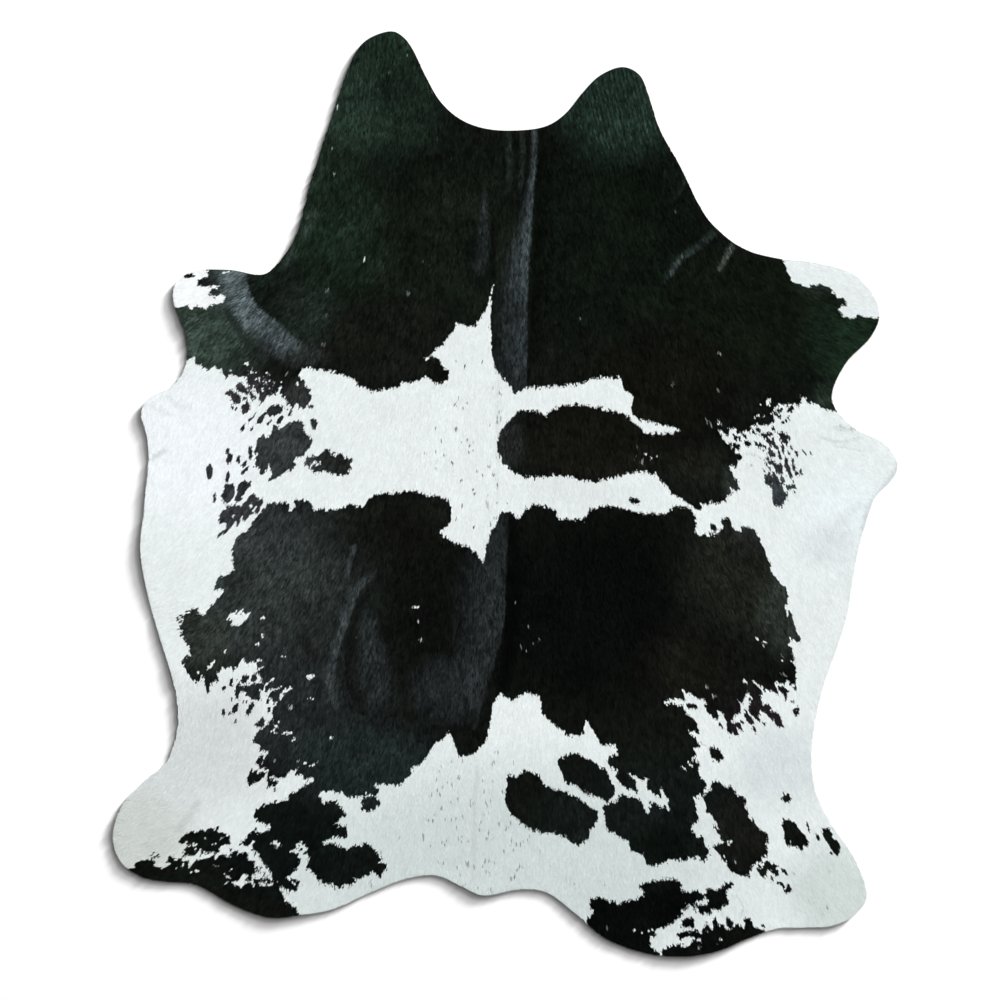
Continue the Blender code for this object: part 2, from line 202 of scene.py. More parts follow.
PATCHES = (
    Patch("neck_and_shoulders", Tone.BLACK, (
        330, 0, 680, 0, 790, 200, 930, 240, 930, 425, 845, 416, 832, 410, 825, 410, 818, 406, 815, 403,
        810, 404, 807, 403, 806, 400, 808, 398, 804, 396, 799, 398, 801, 400, 800, 403, 798, 406, 795, 405,
        794, 403, 790, 402, 784, 406, 779, 405, 775, 408, 773, 410, 775, 413, 772, 415, 774, 418, 773, 421,
        770, 422, 768, 425, 761, 425, 758, 424, 755, 426, 750, 427, 751, 431, 748, 434, 746, 430, 743, 434,
        740, 433, 737, 435, 736, 429, 734, 428, 730, 427, 728, 429, 729, 432, 727, 435, 724, 434, 721, 430,
        718, 430, 720, 434, 723, 439, 726, 443, 730, 445, 733, 442, 736, 442, 740, 445, 740, 449, 738, 451,
        735, 448, 731, 447, 731, 450, 734, 454, 738, 454, 741, 457, 741, 460, 738, 462, 737, 465, 737, 468,
        735, 469, 733, 466, 729, 466, 728, 467, 730, 470, 733, 475, 735, 478, 739, 479, 739, 481, 738, 484,
        738, 486, 740, 489, 739, 491, 735, 491, 734, 488, 730, 489, 732, 492, 732, 495, 730, 497, 727, 497,
        728, 499, 725, 501, 721, 501, 723, 503, 719, 502, 716, 503, 711, 502, 707, 505, 701, 505, 702, 508,
        701, 510, 698, 509, 690, 505, 687, 501, 672, 494, 664, 483, 655, 474, 641, 471, 623, 474, 610, 478,
        591, 482, 575, 478, 559, 475, 528, 477, 512, 472, 502, 462, 497, 446, 499, 432, 512, 418, 521, 411,
        537, 411, 545, 417, 552, 410, 566, 406, 585, 405, 610, 410, 630, 418, 641, 429, 652, 434, 674, 434,
        681, 429, 661, 424, 642, 420, 632, 414, 633, 397, 625, 389, 620, 378, 600, 377, 579, 384, 553, 387,
        528, 387, 515, 393, 505, 379, 496, 371, 491, 344, 490, 319, 492, 297, 494, 284, 488, 304, 481, 318,
        475, 325, 467, 328, 457, 323, 452, 332, 444, 342, 434, 351, 424, 360, 437, 358, 443, 367, 450, 372,
        447, 380, 439, 384, 426, 376, 416, 383, 402, 381, 397, 386, 378, 391, 367, 390, 360, 386, 353, 377,
        340, 374, 325, 370, 311, 368, 302, 370, 300, 375, 301, 379, 305, 382, 304, 386, 307, 388, 311, 390,
        309, 393, 313, 397, 311, 400, 308, 405, 305, 409, 300, 408, 296, 403, 292, 409, 289, 405, 286, 400,
        281, 397, 280, 392, 278, 394, 268, 395, 265, 401, 263, 403, 260, 399, 259, 393, 255, 389, 250, 388,
        248, 381, 248, 375, 240, 378, 234, 376, 230, 371, 230, 376, 227, 378, 224, 373, 220, 369, 214, 366,
        209, 369, 205, 367, 201, 365, 196, 364, 197, 360, 195, 357, 192, 358, 190, 361, 187, 362, 180, 366,
        150, 366, 150, 240, 290, 240, 300, 100,
    )),
    Patch("left_foreleg_white", Tone.WHITE, (
        209, 262, 207, 273, 209, 275, 206, 278, 200, 279, 197, 281, 200, 285, 204, 287, 208, 286, 211, 288,
        222, 285, 218, 289, 210, 290, 212, 296, 216, 298, 220, 295, 223, 295, 227, 298, 224, 303, 220, 305,
        212, 304, 207, 310, 200, 307, 197, 306, 195, 309, 190, 309, 188, 306, 183, 308, 160, 308, 160, 260,
    )),
    Patch("right_foreleg_white", Tone.WHITE, (
        780, 250, 782, 262, 787, 270, 790, 279, 795, 283, 808, 288, 815, 285, 828, 286, 832, 289, 835, 297,
        842, 298, 847, 303, 843, 307, 836, 309, 842, 313, 841, 317, 853, 319, 858, 316, 872, 318, 900, 317,
        900, 250,
    )),
    Patch("saddle", Tone.BLACK, (
        498, 521, 500, 513, 507, 512, 520, 518, 526, 509, 540, 504, 554, 510, 559, 520, 586, 519, 589, 511,
        606, 507, 626, 509, 641, 513, 661, 516, 675, 506, 689, 508, 696, 517, 694, 532, 700, 536, 716, 532,
        722, 529, 721, 521, 728, 518, 733, 527, 740, 533, 742, 528, 755, 530, 760, 538, 762, 548, 770, 562,
        771, 571, 778, 581, 786, 588, 788, 594, 785, 606, 786, 616, 791, 613, 796, 630, 799, 635, 800, 640,
        797, 643, 795, 640, 794, 637, 788, 642, 788, 645, 791, 648, 793, 652, 794, 660, 791, 661, 795, 669,
        797, 675, 796, 678, 794, 682, 794, 685, 790, 684, 789, 681, 786, 680, 785, 683, 781, 684, 778, 683,
        777, 679, 774, 683, 776, 687, 779, 696, 775, 694, 772, 691, 769, 692, 765, 689, 763, 691, 763, 693,
        760, 697, 763, 704, 767, 703, 771, 706, 772, 709, 770, 713, 775, 712, 779, 714, 782, 720, 781, 721,
        784, 727, 779, 728, 776, 726, 774, 721, 767, 716, 766, 713, 761, 710, 758, 707, 761, 714, 760, 716,
        755, 717, 752, 715, 749, 712, 748, 708, 750, 703, 748, 699, 752, 697, 747, 691, 747, 694, 744, 696,
        745, 699, 744, 701, 741, 702, 738, 700, 734, 696, 739, 703, 741, 709, 740, 713, 736, 712, 738, 715,
        734, 715, 734, 719, 732, 721, 729, 720, 734, 724, 736, 728, 737, 733, 735, 735, 731, 731, 732, 736,
        729, 735, 727, 732, 727, 724, 724, 716, 721, 711, 715, 711, 718, 717, 717, 720, 713, 719, 709, 714,
        704, 705, 707, 703, 706, 700, 699, 700, 697, 697, 682, 691, 686, 698, 684, 700, 674, 696, 675, 700,
        665, 701, 664, 703, 675, 705, 683, 706, 682, 709, 686, 712, 685, 713, 691, 716, 695, 720, 699, 729,
        699, 733, 696, 731, 691, 732, 685, 728, 694, 737, 700, 746, 699, 748, 693, 749, 697, 755, 697, 757,
        691, 758, 693, 761, 699, 761, 700, 765, 698, 767, 699, 772, 701, 777, 705, 780, 707, 785, 704, 788,
        705, 792, 702, 795, 697, 796, 693, 799, 697, 808, 697, 815, 699, 820, 693, 822, 690, 828, 690, 831,
        695, 832, 696, 835, 695, 838, 701, 837, 704, 840, 705, 844, 711, 848, 707, 849, 710, 852, 706, 855,
        708, 858, 704, 860, 697, 857, 694, 858, 690, 857, 684, 859, 679, 860, 666, 860, 662, 863, 654, 866,
        647, 863, 642, 856, 644, 854, 632, 850, 629, 849, 629, 842, 618, 836, 609, 831, 605, 827, 606, 822,
        604, 813, 602, 807, 605, 804, 616, 802, 620, 797, 623, 795, 638, 798, 640, 802, 643, 803, 644, 809,
        648, 814, 651, 807, 650, 803, 655, 803, 659, 807, 664, 807, 668, 809, 670, 807, 667, 803, 670, 802,
        667, 797, 664, 792, 660, 785, 661, 797, 657, 795, 648, 790, 647, 782, 648, 778, 645, 777, 644, 780,
        640, 780, 636, 775, 628, 774, 624, 770, 619, 771, 610, 767, 609, 761, 607, 759, 610, 756, 619, 755,
        615, 746, 609, 744, 605, 746, 600, 743, 586, 719, 583, 734, 566, 734, 543, 714, 540, 696, 526, 692,
        511, 701, 500, 692, 493, 705, 489, 728, 484, 743, 473, 754, 459, 756, 454, 740, 449, 731, 436, 743,
        428, 755, 420, 766, 411, 768, 411, 775, 405, 780, 399, 785, 392, 784, 389, 783, 386, 785, 380, 785,
        375, 783, 373, 785, 378, 788, 380, 791, 378, 794, 369, 794, 363, 797, 362, 795, 350, 797, 345, 797,
        342, 794, 337, 794, 333, 789, 332, 791, 325, 791, 320, 793, 318, 797, 318, 803, 300, 805, 287, 800,
        291, 793, 294, 793, 298, 790, 302, 788, 303, 786, 309, 784, 312, 782, 315, 779, 313, 777, 304, 781,
        301, 774, 295, 773, 298, 768, 286, 772, 287, 777, 281, 777, 277, 776, 269, 779, 267, 777, 268, 771,
        266, 767, 262, 768, 257, 763, 257, 759, 260, 756, 264, 755, 265, 758, 271, 750, 264, 751, 260, 749,
        261, 744, 258, 742, 254, 742, 254, 740, 260, 731, 266, 726, 271, 721, 274, 713, 272, 709, 273, 702,
        271, 698, 268, 694, 264, 687, 262, 682, 259, 674, 256, 673, 258, 670, 256, 663, 254, 661, 252, 664,
        247, 664, 245, 659, 240, 662, 238, 669, 234, 670, 231, 667, 225, 668, 222, 667, 220, 671, 215, 672,
        219, 676, 219, 681, 217, 684, 215, 679, 213, 683, 210, 684, 210, 688, 208, 692, 206, 691, 205, 684,
        205, 679, 201, 674, 200, 680, 198, 683, 195, 680, 193, 681, 191, 676, 188, 673, 185, 668, 185, 663,
        182, 662, 182, 659, 185, 658, 185, 655, 192, 656, 189, 649, 185, 637, 181, 635, 182, 631, 180, 626,
        183, 623, 183, 618, 185, 615, 190, 612, 187, 610, 198, 608, 198, 613, 205, 615, 207, 609, 215, 603,
        217, 598, 223, 595, 223, 588, 214, 590, 219, 577, 233, 572, 234, 560, 232, 556, 234, 551, 232, 548,
        235, 539, 239, 536, 241, 532, 246, 531, 252, 526, 253, 521, 260, 513, 264, 508, 267, 503, 272, 502,
        276, 503, 280, 502, 283, 504, 289, 503, 289, 512, 296, 509, 294, 505, 294, 502, 296, 500, 303, 501,
        307, 499, 308, 503, 311, 504, 311, 507, 314, 509, 326, 510, 336, 511, 345, 507, 350, 505, 356, 506,
        365, 505, 375, 494, 411, 491, 432, 496, 447, 498, 451, 509, 451, 524, 439, 533, 452, 542, 467, 546,
        475, 555, 483, 563, 486, 547, 490, 534,
    )),
    Patch("left_shoulder_spot", Tone.BLACK, (
        300, 420, 295, 422, 288, 424, 284, 426, 280, 431, 278, 427, 274, 425, 271, 430, 269, 436, 266, 438,
        264, 435, 258, 440, 256, 445, 254, 450, 255, 465, 258, 467, 260, 471, 263, 473, 267, 470, 269, 466,
        272, 470, 272, 475, 270, 480, 276, 478, 285, 473, 287, 468, 288, 472, 292, 471, 297, 464, 293, 461,
        296, 458, 304, 455, 306, 451, 309, 449, 313, 442, 310, 436, 304, 433, 302, 425,
    )),
    Patch("left_shoulder_second", Tone.BLACK, (
        328, 449, 324, 451, 321, 454, 317, 456, 313, 455, 311, 458, 307, 458, 304, 466, 308, 464, 309, 468,
        312, 467, 313, 472, 320, 473, 324, 470, 328, 470, 331, 473, 338, 476, 346, 476, 349, 474, 349, 470,
        351, 471, 350, 464, 354, 462, 343, 456, 333, 455,
    )),
    Patch("left_flank_cluster", Tone.BLACK, (
        253, 495, 258, 498, 259, 501, 263, 500, 262, 504, 259, 507, 260, 510, 257, 513, 250, 515, 247, 520,
        242, 521, 239, 527, 237, 526, 236, 521, 231, 527, 228, 528, 224, 522, 219, 525, 220, 515, 222, 511,
        226, 508, 226, 504, 236, 506, 241, 506, 244, 502, 248, 500, 250, 495,
    )),
    Patch("left_haunch_spot", Tone.BLACK, (
        243, 686, 249, 684, 252, 685, 255, 683, 261, 682, 264, 686, 263, 690, 260, 694, 253, 695, 249, 698,
        245, 694, 242, 690,
    )),
    Patch("left_hip_blob", Tone.BLACK, (
        247, 780, 248, 776, 251, 771, 253, 769, 254, 771, 257, 770, 258, 773, 267, 772, 266, 776, 260, 781,
        255, 782, 249, 787, 248, 785, 250, 783,
    )),
    Patch("left_hip_blob_low", Tone.BLACK, (
        266, 780, 272, 779, 274, 782, 275, 779, 278, 781, 277, 784, 274, 785, 277, 788, 275, 790, 272, 786,
        269, 788, 267, 786, 268, 784,
    )),
    Patch("left_rump", Tone.BLACK, (
        287, 800, 280, 801, 272, 803, 261, 806, 255, 811, 253, 815, 256, 819, 265, 825, 271, 827, 270, 830,
        266, 831, 262, 833, 258, 834, 258, 831, 254, 830, 249, 834, 245, 838, 246, 840, 243, 840, 240, 843,
        246, 845, 250, 844, 251, 842, 254, 841, 253, 845, 254, 849, 251, 851, 260, 854, 260, 858, 262, 861,
        271, 870, 272, 875, 274, 881, 279, 884, 285, 890, 292, 891, 295, 891, 299, 887, 298, 885, 303, 885,
        298, 881, 296, 878, 290, 879, 284, 876, 290, 875, 293, 870, 296, 869, 300, 864, 299, 862, 302, 861,
        302, 859, 299, 857, 298, 853, 295, 851, 291, 852, 289, 850, 296, 849, 295, 847, 296, 843, 298, 842,
        300, 842, 304, 845, 308, 850, 306, 851, 311, 858, 307, 859, 310, 862, 306, 866, 311, 872, 316, 876,
        319, 880, 327, 884, 333, 885, 349, 885, 354, 884, 355, 881, 352, 878, 361, 877, 369, 875, 371, 872,
        374, 871, 380, 876, 383, 873, 383, 870, 388, 869, 386, 865, 382, 862, 378, 863, 381, 858, 375, 852,
        373, 849, 375, 847, 370, 847, 364, 843, 358, 846, 351, 848, 343, 848, 335, 843, 322, 844, 321, 842,
        329, 839, 335, 837, 347, 837, 348, 830, 344, 826, 332, 825, 336, 823, 340, 818, 343, 818, 346, 815,
        342, 812, 344, 810, 343, 808, 340, 808, 339, 805, 336, 805, 336, 803, 333, 801, 328, 803, 320, 803,
        322, 801, 318, 798, 316, 788, 300, 792,
    )),
    Patch("left_rump_blob", Tone.BLACK, (
        365, 797, 361, 799, 362, 804, 364, 805, 360, 808, 363, 810, 366, 811, 375, 809, 377, 805, 379, 805,
        381, 804, 379, 799, 377, 797, 372, 796,
    )),
    Patch("left_leg_bar", Tone.BLACK, (
        180, 840, 182, 837, 184, 834, 190, 834, 192, 832, 198, 831, 203, 831, 205, 833, 207, 831, 214, 827,
        214, 831, 217, 826, 219, 827, 218, 831, 220, 833, 224, 833, 229, 835, 230, 840, 229, 845, 225, 845,
        220, 846, 218, 848, 220, 850, 219, 852, 215, 854, 214, 850, 209, 853, 204, 852, 200, 857, 202, 851,
        200, 849, 198, 852, 195, 855, 188, 855, 183, 855, 185, 852, 184, 850, 187, 845, 192, 845, 196, 845,
        198, 842, 193, 843, 188, 845, 188, 841, 186, 840, 183, 844, 180, 844,
    )),
    Patch("left_rump_edge", Tone.BLACK, (
        128, 868, 133, 867, 135, 863, 142, 859, 150, 860, 155, 855, 159, 854, 159, 857, 154, 858, 151, 863,
        155, 861, 155, 864, 153, 865, 161, 867, 161, 869, 168, 865, 169, 862, 167, 861, 170, 857, 172, 856,
        174, 858, 174, 861, 176, 861, 178, 858, 181, 857, 183, 857, 182, 861, 189, 860, 186, 866, 190, 866,
        194, 861, 199, 860, 205, 859, 209, 858, 214, 855, 216, 860, 220, 855, 227, 856, 230, 858, 230, 854,
        235, 851, 238, 852, 238, 854, 241, 852, 245, 852, 247, 854, 247, 860, 254, 862, 262, 868, 268, 872,
        271, 878, 274, 882, 279, 884, 281, 890, 285, 899, 289, 902, 296, 907, 303, 917, 300, 935, 200, 930,
        120, 890,
    )),
    Patch("spine_spot_a", Tone.BLACK, (
        557, 765, 559, 758, 574, 753, 590, 760, 600, 767, 605, 770, 610, 775, 609, 778, 614, 787, 615, 792,
        612, 796, 615, 798, 609, 799, 608, 802, 600, 798, 590, 794, 575, 785, 565, 781, 561, 770,
    )),
    Patch("spine_spot_b", Tone.BLACK, (
        507, 773, 516, 778, 527, 770, 539, 776, 546, 787, 561, 791, 580, 799, 597, 811, 598, 818, 589, 831,
        589, 838, 579, 847, 567, 838, 557, 833, 541, 833, 527, 826, 514, 818, 507, 806, 504, 796, 507, 786,
    )),
    Patch("rump_island", Tone.BLACK, (
        615, 775, 619, 771, 625, 771, 629, 776, 633, 779, 636, 785, 637, 793, 630, 790, 622, 786, 618, 780,
    )),
    Patch("right_rump_spot", Tone.BLACK, (
        711, 782, 716, 781, 721, 784, 726, 787, 732, 787, 736, 790, 734, 791, 736, 794, 741, 796, 746, 799,
        747, 802, 744, 805, 745, 811, 748, 813, 749, 818, 756, 826, 765, 833, 768, 836, 768, 842, 765, 843,
        768, 852, 767, 856, 762, 858, 764, 863, 756, 861, 754, 865, 750, 866, 750, 874, 748, 876, 743, 875,
        735, 874, 729, 870, 727, 865, 728, 861, 721, 859, 721, 855, 714, 849, 712, 845, 725, 842, 721, 840,
        720, 836, 713, 828, 716, 826, 721, 830, 718, 824, 713, 820, 712, 816, 707, 812, 706, 803, 703, 798,
        704, 796, 710, 790, 710, 785,
    )),
    Patch("right_leg_spot", Tone.BLACK, (
        782, 825, 785, 820, 789, 820, 790, 819, 797, 825, 798, 829, 805, 836, 809, 841, 809, 844, 808, 848,
        803, 847, 801, 851, 799, 849, 791, 842, 790, 846, 788, 846, 786, 844, 784, 838, 784, 833,
    )),
    Patch("right_leg_spot_low", Tone.BLACK, (
        822, 828, 824, 830, 826, 828, 829, 829, 831, 833, 834, 839, 838, 842, 841, 846, 841, 850, 839, 852,
        839, 854, 836, 855, 832, 850, 828, 844, 824, 837,
    )),
    Patch("right_leg_dots", Tone.BLACK, (
        757, 870, 761, 868, 764, 866, 766, 861, 772, 864, 773, 863, 777, 864, 778, 867, 776, 869, 779, 872,
        779, 875, 776, 877, 773, 874, 772, 871, 769, 871, 766, 875, 764, 876, 761, 875, 758, 874,
    )),
    Patch("right_hip_blob", Tone.BLACK, (
        709, 747, 714, 746, 722, 754, 723, 757, 720, 763, 717, 761, 713, 760, 711, 755,
    )),
    Patch("rump_edge_patch", Tone.BLACK, (
        592, 899, 600, 896, 606, 900, 615, 903, 616, 905, 621, 902, 632, 900, 638, 898, 645, 895, 643, 893,
        645, 890, 643, 888, 639, 888, 640, 885, 646, 883, 653, 880, 659, 880, 663, 879, 669, 878, 676, 879,
        680, 882, 683, 888, 680, 889, 680, 892, 684, 891, 690, 893, 694, 890, 700, 892, 707, 893, 707, 889,
        716, 889, 721, 888, 726, 883, 730, 881, 734, 882, 734, 885, 731, 887, 727, 889, 726, 898, 730, 900,
        720, 907, 719, 909, 712, 909, 709, 912, 701, 913, 699, 910, 693, 906, 697, 905, 700, 906, 702, 904,
        709, 903, 707, 899, 705, 896, 703, 899, 695, 902, 691, 906, 690, 903, 685, 903, 689, 906, 687, 908,
        682, 908, 679, 910, 684, 913, 680, 916, 674, 919, 672, 922, 667, 925, 660, 927, 657, 929, 650, 930,
        656, 934, 653, 936, 649, 936, 651, 942, 647, 945, 653, 948, 660, 954, 658, 960, 590, 960, 587, 917,
        595, 912, 589, 907,
    )),
    Patch("rump_edge_band", Tone.BLACK, (
        660, 962, 662, 948, 667, 948, 672, 946, 679, 945, 689, 945, 690, 942, 694, 940, 701, 941, 701, 938,
        695, 938, 690, 937, 687, 938, 681, 939, 676, 934, 680, 933, 685, 931, 690, 933, 693, 931, 701, 932,
        703, 928, 705, 927, 706, 924, 709, 925, 711, 929, 714, 926, 717, 924, 723, 924, 726, 928, 728, 932,
        730, 929, 736, 924, 741, 925, 744, 928, 745, 923, 742, 918, 747, 919, 752, 920, 752, 923, 755, 929,
        765, 931, 765, 940, 760, 962,
    )),
    Patch("rump_edge_blob", Tone.BLACK, (
        678, 924, 682, 924, 683, 920, 687, 918, 692, 919, 694, 922, 694, 925, 696, 926, 694, 928, 689, 927,
        683, 926,
    )),
    Patch("rump_edge_tuft", Tone.BLACK, (
        726, 925, 726, 919, 727, 917, 730, 918, 733, 922, 733, 925, 730, 928,
    )),
    Patch("right_shoulder_long_spot", Tone.BLACK, (
        764, 477, 767, 477, 770, 478, 772, 476, 772, 473, 774, 473, 776, 476, 779, 479, 781, 484, 782, 488,
        783, 491, 786, 493, 788, 495, 788, 498, 786, 497, 785, 504, 782, 505, 781, 508, 779, 505, 777, 506,
        773, 505, 772, 502, 772, 488, 769, 487, 766, 484, 764, 480,
    )),
    Patch("right_shoulder_mass", Tone.BLACK, (
        768, 461, 771, 460, 775, 461, 778, 464, 781, 462, 782, 465, 783, 470, 782, 474, 780, 475, 775, 472,
        773, 466, 769, 464,
    )),
    Patch("right_shoulder_streak", Tone.BLACK, (
        783, 458, 786, 459, 788, 459, 787, 462, 791, 471, 793, 477, 791, 479, 788, 474, 786, 475, 786, 470,
        784, 464,
    )),
    Patch("right_shoulder_knot", Tone.BLACK, (
        777, 432, 784, 432, 785, 435, 789, 436, 790, 439, 788, 440, 788, 444, 787, 446, 784, 445, 780, 441,
        781, 438, 779, 436,
    )),
    Patch("right_shoulder_fork", Tone.BLACK, (
        785, 485, 789, 486, 792, 484, 794, 482, 796, 488, 794, 493, 793, 489, 787, 491, 786, 488,
    )),
    Patch("right_thigh_dot", Tone.BLACK, (
        792, 710, 794, 708, 796, 709, 798, 706, 800, 708, 799, 713, 796, 716, 793, 713,
    )),
    Patch("left_saddle_hole", Tone.WHITE, (
        226, 619, 229, 614, 239, 612, 243, 609, 241, 614, 250, 612, 249, 616, 243, 623, 239, 626, 231, 626,
        233, 620,
    )),
    Patch("left_rump_hole", Tone.WHITE, (
        271, 845, 271, 841, 277, 840, 275, 841, 279, 843, 279, 847, 276, 848, 274, 845,
    )),
    Patch("left_edge_band", Tone.WHITE, (
        230, 882, 239, 879, 242, 876, 246, 874, 250, 875, 247, 878, 245, 881, 258, 883, 255, 885, 247, 884,
        244, 884, 241, 887, 236, 887, 232, 885,
    )),
    Patch("left_edge_pocket", Tone.WHITE, (
        253, 873, 261, 871, 254, 869, 255, 865, 258, 863, 263, 863, 266, 865, 270, 869, 272, 874, 271, 878,
        266, 879, 254, 879,
    )),
    Patch("left_edge_sliver", Tone.WHITE, (
        257, 884, 262, 882, 274, 882, 273, 885, 269, 887, 263, 885,
    )),
    Patch("right_shoulder_notch", Tone.WHITE, (
        765, 402, 769, 396, 772, 402, 768, 403,
    )),
)

